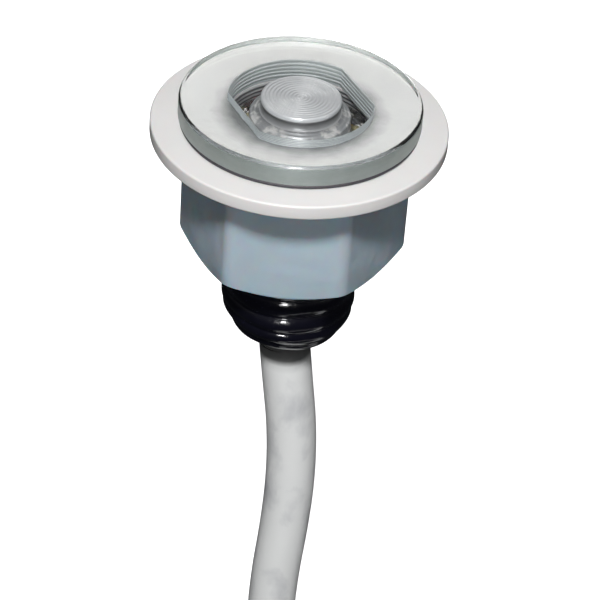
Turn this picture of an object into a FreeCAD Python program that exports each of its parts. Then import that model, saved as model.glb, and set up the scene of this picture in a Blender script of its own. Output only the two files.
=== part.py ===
import FreeCAD, Part
import math
import os

# An underwater pool light: a clear lens on a white flange, an aluminium heat-spreader post in its middle, a threaded
# barrel that holds the LEDs and their driver, a hexagonal lock nut that clamps a pool wall against the flange, a cable
# gland under a wrap of sealing tape, and a supply lead.
# Frame: millimetres, +Z out of the lens, origin at the centre of the flange's back face, where the pool wall begins.

doc = FreeCAD.newDocument("pool_light")
sheet = doc.addObject("Spreadsheet::Sheet", "Sizes")
V = FreeCAD.Vector

# Driving sizes: alias, value, what it is.
SIZES = [
    ("flange_dia", 52.5, "outside of the flange"),
    ("flange_thick", 2.7, "thickness of the flange"),
    ("flange_round", 0.35, "rounding of the flange's edges"),
    ("bore_dia", 25.5, "bore through the flange and the lens opening"),
    ("crest_dia", 31.84, "outside of the barrel's thread, M32 x 1.5"),
    ("pitch", 1.5, "pitch of the barrel's thread"),
    ("thread_deep", 0.92, "depth of the barrel's thread"),
    ("crest_flat", 0.3, "width of the thread's crest"),
    ("thread_play", 0.1, "play between the nut's thread and the barrel's, along the axis"),
    ("nut_gap", 0.2, "radial gap between the nut's thread and the barrel's"),
    ("barrel_long", 23.0, "barrel below the flange"),
    ("relief_long", 2.6, "plain neck between the flange and the thread"),
    ("shoulder_deep", 8.8, "bore's shoulder below the flange's back"),
    ("cavity_dia", 23.2, "driver's cavity"),
    ("end_wall", 2.4, "closed end of the barrel"),
    ("seal_thick", 0.8, "lens seal"),
    ("seal_dia", 41.6, "outside of the lens seal"),
    ("seal_wide", 1.3, "width of the lens seal's ring"),
    ("lens_dia", 42.8, "outside of the lens"),
    ("lens_thick", 3.75, "thickness of the lens"),
    ("lens_round", 0.8, "rounding of the lens's upper edge"),
    ("opening_flats", 22.1, "lens opening across its two flats"),
    ("flats_angle", 28.0, "direction that the lens opening's flats face"),
    ("post_dia", 14.2, "top of the post"),
    ("post_proud", 0.35, "how far the post stands above the lens"),
    ("post_edge", 0.25, "chamfer of the post's top edge"),
    ("neck_high", 2.15, "post's straight top part"),
    ("foot_dia", 18.0, "post below its flare"),
    ("foot_high", 1.2, "height of the flare"),
    ("core_play", 0.15, "gap between the post's base and the bore"),
    ("base_thick", 4.0, "post's base"),
    ("ring_section", 1.55, "section of the base's O-ring"),
    ("board_thick", 1.6, "LED board"),
    ("board_play", 0.1, "gap round the LED board's inner edge"),
    ("led_ring_dia", 21.8, "circle of the LEDs and of the board's screws"),
    ("wire_ring_dia", 20.2, "circle of the two wires to the LED board"),
    ("led_side", 2.8, "side of an LED's base"),
    ("led_high", 0.8, "height of an LED's base"),
    ("dome_dia", 2.4, "LED's dome"),
    ("led_angle", 24.0, "direction of the first LED"),
    ("resin_deep", 0.35, "resin's surface below the flange's back"),
    ("screw_dia", 1.6, "thread of the small screws"),
    ("head_dia", 3.0, "head of the small screws"),
    ("head_high", 0.9, "height of a small screw's head"),
    ("screw_play", 0.15, "radial gap round a small screw's shank"),
    ("standoff_long", 2.6, "driver's standoffs"),
    ("standoff_dia", 3.4, "driver's standoffs"),
    ("standoff_ring", 17.6, "circle of the standoffs"),
    ("driver_dia", 22.2, "driver's board"),
    ("driver_thick", 1.2, "driver's board"),
    ("wire_dia", 1.3, "insulated wires to the LED board"),
    ("core_wire_dia", 2.1, "the cable's insulated conductors"),
    ("stem_dia", 15.9, "gland's stem"),
    ("stem_play", 0.1, "radial gap round the gland's stem"),
    ("stem_in", 5.6, "how far the gland's stem reaches into the barrel"),
    ("gland_flats", 19.0, "gland's hexagon across flats"),
    ("gland_hex_high", 4.0, "height of the gland's hexagon"),
    ("gland_washer_thick", 1.0, "gland's flat washer"),
    ("locknut_thick", 2.4, "gland's inner locknut"),
    ("cage_dia", 16.4, "gland's clamping cage"),
    ("cage_long", 6.8, "gland's clamping cage"),
    ("gland_nut_dia", 20.8, "gland's dome nut"),
    ("gland_nut_long", 12.8, "gland's dome nut"),
    ("cable_dia", 9.6, "supply cable"),
    ("cable_play", 0.3, "radial gap round the cable in the gland"),
    ("wrap_dia", 24.1, "outside of the tape wrap"),
    ("wrap_long", 22.2, "tape wrap"),
    ("wrap_gap", 0.2, "gap between the wrap and what it covers"),
    ("gasket_thick", 1.5, "wall gasket"),
    ("gasket_dia", 44.0, "wall gasket"),
    ("gasket_seat", 0.4, "depth of the wall gasket's seat in the flange"),
    ("washer_thick", 0.8, "slip washer"),
    ("washer_dia", 37.0, "slip washer"),
    ("ring_gap", 0.25, "radial gap between the barrel and the rings on it"),
    ("nut_flats", 36.0, "lock nut across flats"),
    ("nut_high", 20.9, "height of the lock nut"),
    ("nut_angle", -2.2, "direction of the nut's corners"),
    ("nut_thread_long", 8.7, "threaded part of the nut"),
    ("nut_lead_in", 0.6, "chamfer at the mouth of the nut"),
    ("chamfer_angle", 29.0, "slope of the nut's chamfer"),
    ("chamfer_circle", 35.4, "circle where the chamfer meets the nut's lower face"),
    ("coil_mid_dia", 106.0, "middle of the coil's turns"),
    ("coil_columns", 2, "turns side by side in the coil"),
    ("coil_layers", 3, "turns on each other in the coil"),
    ("coil_gap", 0.1, "gap between neighbouring turns"),
    ("tie_wide", 10.0, "tie round the coil"),
    ("tie_thick", 1.2, "tie round the coil"),
    ("tie_gap", 0.4, "gap between the tie and the turns"),
]
for row, (alias, value, words) in enumerate(SIZES, start=1):
    sheet.set(f"A{row}", words)
    sheet.set(f"B{row}", str(value))
    sheet.setAlias(f"B{row}", alias)
doc.recompute()
size = {alias: float(value) for alias, value, words in SIZES}

LED_COUNT = 6
SCREW_COUNT = 3
TINY = 0.01  # how far a cutting tool runs past the face it cuts

# Heights along the axis, as formulas on the sheet and as numbers from the same values.
PEAK = "(Sizes.flange_thick + Sizes.seal_thick + Sizes.lens_thick + Sizes.post_proud)"
LENS_FOOT = "(Sizes.flange_thick + Sizes.seal_thick)"
LENS_TOP = "(Sizes.flange_thick + Sizes.seal_thick + Sizes.lens_thick)"
BASE_FOOT = "(-Sizes.shoulder_deep)"
BASE_TOP = "(Sizes.base_thick - Sizes.shoulder_deep)"
BOARD_TOP = "(Sizes.base_thick + Sizes.board_thick - Sizes.shoulder_deep)"
STANDOFF_FOOT = "(-Sizes.shoulder_deep - Sizes.standoff_long)"
DRIVER_FOOT = "(-Sizes.shoulder_deep - Sizes.standoff_long - Sizes.driver_thick)"
BARREL_END = "(-Sizes.barrel_long)"
CAVITY_FOOT = "(Sizes.end_wall - Sizes.barrel_long)"
STEM_TOP = "(Sizes.stem_in - Sizes.barrel_long)"
GLAND_FACE = "(-Sizes.barrel_long - Sizes.gland_washer_thick)"
CAGE_TOP = "(-Sizes.barrel_long - Sizes.gland_washer_thick - Sizes.gland_hex_high)"
CAGE_FOOT = f"({CAGE_TOP} - Sizes.cage_long)"
GLAND_NUT_TOP = f"({CAGE_TOP} - 0.4)"
GLAND_NUT_FOOT = f"({GLAND_NUT_TOP} - Sizes.gland_nut_long)"
WRAP_TOP = "(-Sizes.barrel_long - Sizes.wrap_gap)"
WRAP_FOOT = f"({WRAP_TOP} - Sizes.wrap_long)"
WASHER_TOP = "(-Sizes.gasket_thick)"
NUT_TOP = "(-Sizes.gasket_thick - Sizes.washer_thick)"
NUT_FOOT = f"({NUT_TOP} - Sizes.nut_high)"
ROOT = "(Sizes.crest_dia / 2 - Sizes.thread_deep)"
CORE = "(Sizes.bore_dia / 2 - Sizes.core_play)"
CABLE_HOLE = "(Sizes.cable_dia / 2 + Sizes.cable_play)"

nodes = []


def bind(thing, **formulas):
    """Ties properties of an object to formulas on the sheet; a double underscore stands for a dot."""
    for name, formula in formulas.items():
        thing.setExpression(name.replace("__", "."), formula)


def keep(thing, label):
    """Makes an object one of the sub-parts that are written out, under its own label."""
    thing.Label = label
    nodes.append((label, thing))
    return thing


def body(label):
    return keep(doc.addObject("PartDesign::Body", label + "_body"), label)


def sketch(owner, role, name, corners):
    """A closed outline of straight lines on one of the body's own planes; every corner is placed by two formulas."""
    drawing = owner.newObject("Sketcher::SketchObject", name)
    plane = [f for f in owner.Origin.OriginFeatures if f.Role == role][0]
    drawing.AttachmentSupport = [(plane, "")]
    drawing.MapMode = "FlatFace"
    count = len(corners)
    loose = [V(math.cos(2 * math.pi * k / count), math.sin(2 * math.pi * k / count), 0) for k in range(count)]
    for k in range(count):
        drawing.addGeometry(Part.LineSegment(loose[k], loose[(k + 1) % count]), False)
    for k, (across, up) in enumerate(corners):
        drawing.addConstraint(Sketcher.Constraint("Coincident", k, 2, (k + 1) % count, 1))
        for kind, axis, formula in (("DistanceX", -2, across), ("DistanceY", -1, up)):
            if formula == "0":
                drawing.addConstraint(Sketcher.Constraint("PointOnObject", k, 1, axis))
            else:
                number = drawing.addConstraint(Sketcher.Constraint(kind, -1, 1, k, 1, 1.0))
                drawing.setExpression(f"Constraints[{number}]", formula)
    return drawing


def round_sketch(owner, name, diameter):
    """A circle on the body's ground plane, centred on the axis."""
    drawing = owner.newObject("Sketcher::SketchObject", name)
    plane = [f for f in owner.Origin.OriginFeatures if f.Role == "XY_Plane"][0]
    drawing.AttachmentSupport = [(plane, "")]
    drawing.MapMode = "FlatFace"
    drawing.addGeometry(Part.Circle(V(0, 0, 0), V(0, 0, 1), 1.0), False)
    drawing.addConstraint(Sketcher.Constraint("Coincident", 0, 3, -1, 1))
    number = drawing.addConstraint(Sketcher.Constraint("Diameter", 0, 2.0))
    drawing.setExpression(f"Constraints[{number}]", diameter)
    return drawing


def feature(owner, kind, name, drawing, **formulas):
    made = owner.newObject("PartDesign::" + kind, name)
    made.Profile = drawing
    if kind in ("Revolution", "Groove"):
        made.ReferenceAxis = (drawing, ["V_Axis"])
        made.Angle = 360
    bind(made, **formulas)
    owner.Tip = made
    doc.recompute()
    return made


def revolved(label, corners):
    """A turned piece: its half section, as distances from the axis and heights, turned once round."""
    owner = body(label)
    feature(owner, "Revolution", label + "_turned", sketch(owner, "XZ_Plane", label + "_section", corners))
    return owner


def helix(owner, kind, name, drawing, length):
    made = owner.newObject("PartDesign::" + kind, name)
    made.Profile = drawing
    made.ReferenceAxis = (drawing, ["V_Axis"])
    made.Mode = 0
    bind(made, Pitch="Sizes.pitch", Height=length)
    owner.Tip = made
    doc.recompute()
    return made


def must_cut(before, after, name):
    """A pocket that points the wrong way cuts nothing and says nothing, so its volume is compared."""
    if not after.Shape.Volume < before.Shape.Volume - 1e-3:
        raise RuntimeError(f"{name} cuts nothing")


def placed(thing, x="0", y="0", z="0"):
    for letter, formula in (("x", x), ("y", y), ("z", z)):
        if formula != "0":
            thing.setExpression("Placement.Base." + letter, formula)
    return thing


def cylinder(name, diameter, height, x="0", y="0", z="0"):
    made = doc.addObject("Part::Cylinder", name)
    bind(made, Radius=f"({diameter}) / 2", Height=height)
    return placed(made, x, y, z)


def box(name, long, wide, high, x="0", y="0", z="0", turn=None):
    """A block centred on x and y and standing on z, turned about its own middle."""
    made = doc.addObject("Part::Box", name)
    bind(made, Length=long, Width=wide, Height=high)
    made.recompute()
    holder = doc.addObject("Part::Compound", name + "_place")
    placed(made, f"-({long}) / 2", f"-({wide}) / 2")
    holder.Links = [made]
    if turn:
        holder.setExpression("Placement.Rotation.Angle", turn)
        holder.setExpression("Placement.Rotation.Axis.x", "0")
        holder.setExpression("Placement.Rotation.Axis.y", "0")
        holder.setExpression("Placement.Rotation.Axis.z", "1")
    return placed(holder, x, y, z)


def cut(name, base, tools):
    """The base less every tool."""
    made = doc.addObject("Part::Cut", name)
    made.Base = base
    if len(tools) == 1:
        made.Tool = tools[0]
    else:
        made.Tool = doc.addObject("Part::MultiFuse", name + "_tools")
        made.Tool.Shapes = tools
    return made


def group(label, pieces):
    made = doc.addObject("Part::Compound", label + "_group")
    made.Links = pieces
    return keep(made, label)


def on_ring(ring, angle):
    """Formulas of a point on a circle round the axis; the angle is a formula in degrees."""
    return f"{ring} / 2 * cos({angle})", f"{ring} / 2 * sin({angle})"


import Sketcher


# Housing: flange and threaded barrel, one white moulding. The bore steps in at a shoulder that carries the post's base.
housing = body("housing")
barrel = feature(housing, "Revolution", "housing_turned", sketch(housing, "XZ_Plane", "housing_section", [
    ("Sizes.bore_dia / 2", "Sizes.flange_thick"),
    ("Sizes.flange_dia / 2 - Sizes.flange_round", "Sizes.flange_thick"),
    ("Sizes.flange_dia / 2", "Sizes.flange_thick - Sizes.flange_round"),
    ("Sizes.flange_dia / 2", "Sizes.flange_round"),
    ("Sizes.flange_dia / 2 - Sizes.flange_round", "0"),
    ("Sizes.gasket_dia / 2 + 0.3", "0"),
    ("Sizes.gasket_dia / 2 + 0.3", "Sizes.gasket_seat"),
    (ROOT, "Sizes.gasket_seat"),
    (ROOT, BARREL_END),
    ("Sizes.stem_dia / 2 + Sizes.stem_play", BARREL_END),
    ("Sizes.stem_dia / 2 + Sizes.stem_play", CAVITY_FOOT),
    ("Sizes.cavity_dia / 2", CAVITY_FOOT),
    ("Sizes.cavity_dia / 2", BASE_FOOT),
    ("Sizes.bore_dia / 2", BASE_FOOT),
]))
slope = "tan(30)"
ridge_half = f"(Sizes.crest_flat / 2 + (Sizes.thread_deep + 0.1) * {slope})"
ridge_mid = f"({BARREL_END} + Sizes.pitch)"
ridge = sketch(housing, "XZ_Plane", "thread_section", [
    (f"{ROOT} - 0.1", f"{ridge_mid} - {ridge_half}"),
    ("Sizes.crest_dia / 2", f"{ridge_mid} - Sizes.crest_flat / 2"),
    ("Sizes.crest_dia / 2", f"{ridge_mid} + Sizes.crest_flat / 2"),
    (f"{ROOT} - 0.1", f"{ridge_mid} + {ridge_half}"),
])
helix(housing, "AdditiveHelix", "barrel_thread", ridge,
      "Sizes.barrel_long - Sizes.relief_long - 2 * Sizes.pitch")

# Lens seal: a flat black rubber ring under the lens, set back from its edge.
revolved("lens_seal", [
    ("Sizes.seal_dia / 2 - Sizes.seal_wide", "Sizes.flange_thick"),
    ("Sizes.seal_dia / 2", "Sizes.flange_thick"),
    ("Sizes.seal_dia / 2", LENS_FOOT),
    ("Sizes.seal_dia / 2 - Sizes.seal_wide", LENS_FOOT),
])

# Lens: a clear disc with a round opening that has two flats for a fitting key.
lens = body("lens")
corner = "sqrt(Sizes.bore_dia ^ 2 - Sizes.opening_flats ^ 2) / 2"
disc = feature(lens, "Revolution", "lens_turned", sketch(lens, "XZ_Plane", "lens_section", [
    ("0", LENS_FOOT),
    ("Sizes.lens_dia / 2 - 0.4", LENS_FOOT),
    ("Sizes.lens_dia / 2", f"{LENS_FOOT} + 0.4"),
    ("Sizes.lens_dia / 2", LENS_TOP),
    ("0", LENS_TOP),
]))
outline = lens.newObject("Sketcher::SketchObject", "opening_outline")
outline.AttachmentSupport = [([f for f in lens.Origin.OriginFeatures if f.Role == "XY_Plane"][0], "")]
outline.MapMode = "FlatFace"
outline.setExpression("AttachmentOffset.Rotation.Angle", "Sizes.flats_angle")
half, flat = size["bore_dia"] / 2, size["opening_flats"] / 2
lean = math.acos(flat / half)
ends = [V(flat, -half * math.sin(lean), 0), V(flat, half * math.sin(lean), 0)]
outline.addGeometry(Part.LineSegment(ends[0], ends[1]), False)
outline.addGeometry(Part.ArcOfCircle(Part.Circle(V(0, 0, 0), V(0, 0, 1), half), lean, math.pi - lean), False)
outline.addGeometry(Part.LineSegment(-ends[0], -ends[1]), False)
outline.addGeometry(Part.ArcOfCircle(Part.Circle(V(0, 0, 0), V(0, 0, 1), half), math.pi + lean, -lean), False)
for first, first_end, second, second_end in ((0, 2, 1, 1), (1, 2, 2, 1), (2, 2, 3, 1), (3, 2, 0, 1)):
    outline.addConstraint(Sketcher.Constraint("Coincident", first, first_end, second, second_end))
outline.addConstraint(Sketcher.Constraint("Coincident", 1, 3, -1, 1))
outline.addConstraint(Sketcher.Constraint("Coincident", 3, 3, -1, 1))
outline.addConstraint(Sketcher.Constraint("Vertical", 0))
outline.addConstraint(Sketcher.Constraint("Vertical", 2))
opening_radius = outline.addConstraint(Sketcher.Constraint("Radius", 1, half))
outline.setExpression(f"Constraints[{opening_radius}]", "Sizes.bore_dia / 2")
for line, sign in ((0, ""), (2, "-")):
    number = outline.addConstraint(Sketcher.Constraint("DistanceX", -1, 1, line, 1, flat if not sign else -flat))
    outline.setExpression(f"Constraints[{number}]", f"{sign}Sizes.opening_flats / 2")
opening = feature(lens, "Pocket", "lens_opening", outline, Length=f"{LENS_TOP} + 1")
opening.Reversed = True
doc.recompute()
must_cut(disc, opening, "the lens opening")
rim = []
for number, edge in enumerate(opening.Shape.Edges, start=1):
    mids = edge.valueAt((edge.FirstParameter + edge.LastParameter) / 2)
    top = size["flange_thick"] + size["seal_thick"] + size["lens_thick"]
    if abs(mids.z - top) < 1e-6 and abs(math.hypot(mids.x, mids.y) - size["lens_dia"] / 2) < 1e-6:
        rim.append(f"Edge{number}")
lens_edge = lens.newObject("PartDesign::Fillet", "lens_edge")
lens_edge.Base = (opening, rim)
bind(lens_edge, Radius="Sizes.lens_round")
lens.Tip = lens_edge
doc.recompute()

# Post: one turned piece of aluminium that carries the LED board and takes its heat to the water. Its base sits on the
# housing's shoulder and has an O-ring groove; holes take the board's screws, the driver's screws and the LED wires.
post = body("core_post")
groove_top = f"({BASE_FOOT} + 0.8 + Sizes.ring_section)"
groove_floor = f"({CORE} - Sizes.ring_section + 0.05)"
turned_post = feature(post, "Revolution", "post_turned", sketch(post, "XZ_Plane", "post_section", [
    ("0", PEAK),
    ("Sizes.post_dia / 2 - Sizes.post_edge", PEAK),
    ("Sizes.post_dia / 2", f"{PEAK} - Sizes.post_edge"),
    ("Sizes.post_dia / 2", f"{PEAK} - Sizes.neck_high"),
    ("Sizes.foot_dia / 2", f"{PEAK} - Sizes.neck_high - Sizes.foot_high"),
    ("Sizes.foot_dia / 2", BASE_TOP),
    (CORE, BASE_TOP),
    (CORE, groove_top),
    (groove_floor, groove_top),
    (groove_floor, f"({BASE_FOOT} + 0.8)"),
    (CORE, f"({BASE_FOOT} + 0.8)"),
    (CORE, BASE_FOOT),
    ("0", BASE_FOOT),
]))


def drilled(owner, name, diameter, ring, angles, foot, depth):
    """A ring of round holes in a body, cut upwards from a height; the angles are formulas in degrees."""
    drawing = owner.newObject("Sketcher::SketchObject", name + "_circles")
    plane = [f for f in owner.Origin.OriginFeatures if f.Role == "XY_Plane"][0]
    drawing.AttachmentSupport = [(plane, "")]
    drawing.MapMode = "FlatFace"
    drawing.setExpression("AttachmentOffset.Base.z", foot)
    for k, angle in enumerate(angles):
        drawing.addGeometry(Part.Circle(V(5, k, 0), V(0, 0, 1), 0.5), False)
        across, up = on_ring(ring, angle)
        for kind, formula in (("DistanceX", across), ("DistanceY", up)):
            number = drawing.addConstraint(Sketcher.Constraint(kind, -1, 1, k, 3, 1.0))
            drawing.setExpression(f"Constraints[{number}]", formula)
        number = drawing.addConstraint(Sketcher.Constraint("Diameter", k, 1.0))
        drawing.setExpression(f"Constraints[{number}]", diameter)
    before = owner.Tip
    made = feature(owner, "Pocket", name, drawing, Length=depth)
    made.Reversed = True
    doc.recompute()
    must_cut(before, made, name)


screw_angles = [f"Sizes.led_angle + 30 + {360 * k // SCREW_COUNT}" for k in range(SCREW_COUNT)]
wire_angles = ["Sizes.led_angle + 90", "Sizes.led_angle + 210"]
stand_angles = [f"Sizes.led_angle + {360 * k // SCREW_COUNT}" for k in range(SCREW_COUNT)]
screw_hole = "(Sizes.screw_dia + 2 * Sizes.screw_play)"
wire_hole = "(Sizes.wire_dia + 2 * Sizes.screw_play)"
screw_bite = "1.4"
drilled(post, "post_screw_holes", screw_hole, "Sizes.led_ring_dia", screw_angles,
        f"{BASE_TOP} - {screw_bite} - 0.1", f"{screw_bite} + 1")
drilled(post, "post_wire_holes", wire_hole, "Sizes.wire_ring_dia", wire_angles, BASE_FOOT, "Sizes.base_thick + 0.5")
drilled(post, "post_driver_holes", screw_hole, "Sizes.standoff_ring", stand_angles, BASE_FOOT, "3")

# O-ring in the base's groove.
ring = keep(doc.addObject("Part::Torus", "o_ring"), "post_o_ring")
bind(ring, Radius1=f"{CORE} - Sizes.ring_section / 2 + 0.08", Radius2="Sizes.ring_section / 2 - 0.02",
     Placement__Base__z=f"{BASE_FOOT} + 0.8 + Sizes.ring_section / 2")

# LED board: a black metal-core ring on the post's base, with its LEDs, its screws and two wires from the driver.
board = revolved("led_board", [
    ("Sizes.foot_dia / 2 + Sizes.board_play", BASE_TOP),
    (CORE, BASE_TOP),
    (CORE, BOARD_TOP),
    ("Sizes.foot_dia / 2 + Sizes.board_play", BOARD_TOP),
])
drilled(board, "board_screw_holes", screw_hole, "Sizes.led_ring_dia", screw_angles, BASE_TOP, "Sizes.board_thick + 0.5")
drilled(board, "board_wire_holes", wire_hole, "Sizes.wire_ring_dia", wire_angles, BASE_TOP, "Sizes.board_thick + 0.5")

led_bases, led_domes = [], []
for k in range(LED_COUNT):
    angle = f"Sizes.led_angle + {360 * k // LED_COUNT}"
    x, y = on_ring("Sizes.led_ring_dia", angle)
    led_bases.append(box(f"led_base_{k}", "Sizes.led_side", "Sizes.led_side", "Sizes.led_high", x, y, BOARD_TOP, angle))
    dome = doc.addObject("Part::Sphere", f"led_dome_{k}")
    bind(dome, Radius="Sizes.dome_dia / 2")
    dome.Angle1 = 0
    led_domes.append(placed(dome, x, y, f"{BOARD_TOP} + Sizes.led_high"))
group("led_bases", led_bases)
group("led_domes", led_domes)

heads, shanks = [], []
for k, angle in enumerate(screw_angles):
    x, y = on_ring("Sizes.led_ring_dia", angle)
    heads.append(cylinder(f"board_screw_head_{k}", "Sizes.head_dia", "Sizes.head_high", x, y, BOARD_TOP))
    shanks.append(cylinder(f"board_screw_shank_{k}", "Sizes.screw_dia", f"Sizes.board_thick + {screw_bite}", x, y,
                           f"{BASE_TOP} - {screw_bite}"))
board_screws = doc.addObject("Part::MultiFuse", "board_screws_fused")
board_screws.Shapes = heads + shanks
keep(board_screws, "board_screws")

# Driver: a round board hung from the post's base on three standoffs, with its components below it.
standoffs, driver_screws = [], []
for k, angle in enumerate(stand_angles):
    x, y = on_ring("Sizes.standoff_ring", angle)
    outer = cylinder(f"standoff_outer_{k}", "Sizes.standoff_dia", "Sizes.standoff_long", x, y, STANDOFF_FOOT)
    inner = cylinder(f"standoff_bore_{k}", screw_hole, "Sizes.standoff_long + 2", x, y, f"{STANDOFF_FOOT} - 1")
    standoffs.append(cut(f"standoff_{k}", outer, [inner]))
    driver_screws.append(cylinder(f"driver_screw_head_{k}", "Sizes.head_dia", "Sizes.head_high", x, y,
                                  f"{DRIVER_FOOT} - Sizes.head_high"))
    driver_screws.append(cylinder(f"driver_screw_shank_{k}", "Sizes.screw_dia",
                                  "Sizes.driver_thick + Sizes.standoff_long + 2", x, y, DRIVER_FOOT))
group("standoffs", standoffs)
fused_screws = doc.addObject("Part::MultiFuse", "driver_screws_fused")
fused_screws.Shapes = driver_screws
keep(fused_screws, "driver_screws")

driver = revolved("driver_board", [
    ("0", DRIVER_FOOT),
    ("Sizes.driver_dia / 2", DRIVER_FOOT),
    ("Sizes.driver_dia / 2", STANDOFF_FOOT),
    ("0", STANDOFF_FOOT),
])
drilled(driver, "driver_holes", screw_hole, "Sizes.standoff_ring", stand_angles, DRIVER_FOOT, "Sizes.driver_thick + 0.5")

keep(box("rectifier", "4.8", "3.9", "1.6", "-2.6", "6.6", f"{DRIVER_FOOT} - 1.6"), "bridge_rectifier")
can_foot = f"{DRIVER_FOOT} - 4.2"
keep(cylinder("capacitor_can", "4.0", "4.2", "3.2", "7.6", can_foot), "smoothing_capacitor")
bobbin = doc.addObject("Part::MultiFuse", "inductor_bobbin")
bobbin.Shapes = [
    cylinder("inductor_top", "5.0", "0.7", "6.0", "-4.6", f"{DRIVER_FOOT} - 0.7"),
    cylinder("inductor_waist", "3.6", "2.0", "6.0", "-4.6", f"{DRIVER_FOOT} - 2.2"),
    cylinder("inductor_foot", "5.0", "0.7", "6.0", "-4.6", f"{DRIVER_FOOT} - 2.8"),
]
keep(bobbin, "inductor")
keep(box("driver_chip", "3.9", "4.9", "1.2", "-6.2", "-2.6", f"{DRIVER_FOOT} - 1.2"), "driver_ic")
group("resistors", [box(f"resistor_{k}", "1.6", "0.8", "0.5", f"{-3.4 + 2.2 * k}", "-5.8", f"{DRIVER_FOOT} - 0.5")
                    for k in range(3)])


def tube(points, radii, across):
    """A round tube along straight runs joined by tangent arcs; the first point is where its end face stands."""
    edges = []
    at = points[0]
    for k, radius in enumerate(radii, start=1):
        back = (points[k - 1] - points[k]).normalize()
        ahead = (points[k + 1] - points[k]).normalize()
        turn = math.pi - back.getAngle(ahead)
        reach = radius * math.tan(turn / 2)
        start, end = points[k] + back * reach, points[k] + ahead * reach
        middle = points[k] + (back + ahead).normalize() * radius * (1 / math.cos(turn / 2) - 1)
        edges.append(Part.makeLine(at, start))
        edges.append(Part.Arc(start, middle, end).toShape())
        at = end
    edges.append(Part.makeLine(at, points[-1]))
    path = Part.Wire(edges)
    heading = points[1] - points[0]
    ring_wire = Part.Wire([Part.makeCircle(across / 2, points[0], heading)])
    solid = path.makePipeShell([ring_wire], True, False)
    expected = math.pi * across ** 2 / 4 * path.Length
    if abs(solid.Volume - expected) > 0.01 * expected:
        raise RuntimeError(f"a tube of {path.Length:.1f} mm has the wrong volume")
    return solid, path.Length


def wire_piece(label, points, radii, across):
    made = keep(doc.addObject("Part::Feature", label + "_tube"), label)
    made.Shape, length = tube(points, radii, across)
    made.Placement = FreeCAD.Placement(V(0, 0, 0), FreeCAD.Rotation())
    return length


# The two wires rise from the driver through the post's base and the LED board, and bend over onto its pads.
board_top = size["base_thick"] + size["board_thick"] - size["shoulder_deep"]
driver_top = -size["shoulder_deep"] - size["standoff_long"]
for label, turn in (("led_wire_red", 90), ("led_wire_black", 210)):
    direction = math.radians(size["led_angle"] + turn)
    spot = V(math.cos(direction), math.sin(direction), 0) * (size["wire_ring_dia"] / 2)
    aside = V(math.sin(direction), -math.cos(direction), 0)
    bend = V(0, 0, board_top + 1.2)
    wire_piece(label, [spot + V(0, 0, driver_top), spot + bend, spot + bend + aside * 2.4], [1.2], size["wire_dia"])

# Clear resin over the LED board, drawn up a little against the post and the bore.
resin_rim = "(-Sizes.resin_deep)"
resin_blank = doc.addObject("PartDesign::Body", "resin_body")
feature(resin_blank, "Revolution", "resin_turned", sketch(resin_blank, "XZ_Plane", "resin_section", [
    ("Sizes.foot_dia / 2", BOARD_TOP),
    ("Sizes.bore_dia / 2", BOARD_TOP),
    ("Sizes.bore_dia / 2", f"{resin_rim} + 0.45"),
    ("Sizes.bore_dia / 2 - 0.7", resin_rim),
    ("Sizes.foot_dia / 2 + 0.7", resin_rim),
    ("Sizes.foot_dia / 2", f"{resin_rim} + 0.6"),
]))
doc.recompute()
resin = keep(doc.addObject("Part::Feature", "resin_cut"), "clear_resin")
wires = [thing for label, thing in nodes if label.startswith("led_wire")]
leds = [thing for label, thing in nodes if label in ("led_bases", "led_domes", "board_screws")]
resin.Shape = resin_blank.Shape.cut([thing.Shape for thing in wires + leds])
resin.Placement = FreeCAD.Placement(V(0, 0, 0), FreeCAD.Rotation())

# Cable gland: a hexagonal body whose stem goes through the barrel's end, its washer and inner locknut, a rubber seal
# in a cage, and a dome nut.
R_HEX = "Sizes.gland_flats / sqrt(3)"


def hexagon(owner, name, flats, turn=None):
    """A hexagon with two corners on the X axis, on the body's ground plane."""
    wide = f"({flats}) / sqrt(3)"
    drawing = sketch(owner, "XY_Plane", name, [
        (wide, "0"),
        (f"{wide} / 2", f"({flats}) / 2"),
        (f"-{wide} / 2", f"({flats}) / 2"),
        (f"-{wide}", "0"),
        (f"-{wide} / 2", f"-({flats}) / 2"),
        (f"{wide} / 2", f"-({flats}) / 2"),
    ])
    if turn:
        drawing.setExpression("AttachmentOffset.Rotation.Angle", turn)
    return drawing


def hex_block(owner, name, flats, foot, high, turn=None):
    drawing = hexagon(owner, name + "_outline", flats, turn)
    drawing.setExpression("AttachmentOffset.Base.z", foot)
    return feature(owner, "Pad", name, drawing, Length=high)


gland = body("gland_body")
hex_block(gland, "gland_hex", "Sizes.gland_flats", CAGE_TOP, "Sizes.gland_hex_high")
feature(gland, "Revolution", "gland_stem", sketch(gland, "XZ_Plane", "stem_section", [
    (CABLE_HOLE, f"{CAGE_TOP} + 1"),
    ("Sizes.stem_dia / 2", f"{CAGE_TOP} + 1"),
    ("Sizes.stem_dia / 2", STEM_TOP),
    (CABLE_HOLE, STEM_TOP),
]))
feature(gland, "Revolution", "gland_cage", sketch(gland, "XZ_Plane", "cage_section", [
    ("Sizes.cage_dia / 2 - 1.3", CAGE_FOOT),
    ("Sizes.cage_dia / 2", CAGE_FOOT),
    ("Sizes.cage_dia / 2", f"{CAGE_TOP} + 1"),
    ("Sizes.cage_dia / 2 - 1.3", f"{CAGE_TOP} + 1"),
]))
before_bore = gland.Tip
feature(gland, "Groove", "gland_bore", sketch(gland, "XZ_Plane", "gland_bore_section", [
    ("0", f"{CAGE_FOOT} - 1"),
    (CABLE_HOLE, f"{CAGE_FOOT} - 1"),
    (CABLE_HOLE, f"{STEM_TOP} + 1"),
    ("0", f"{STEM_TOP} + 1"),
]))
must_cut(before_bore, gland.Tip, "the gland's bore")

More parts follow.
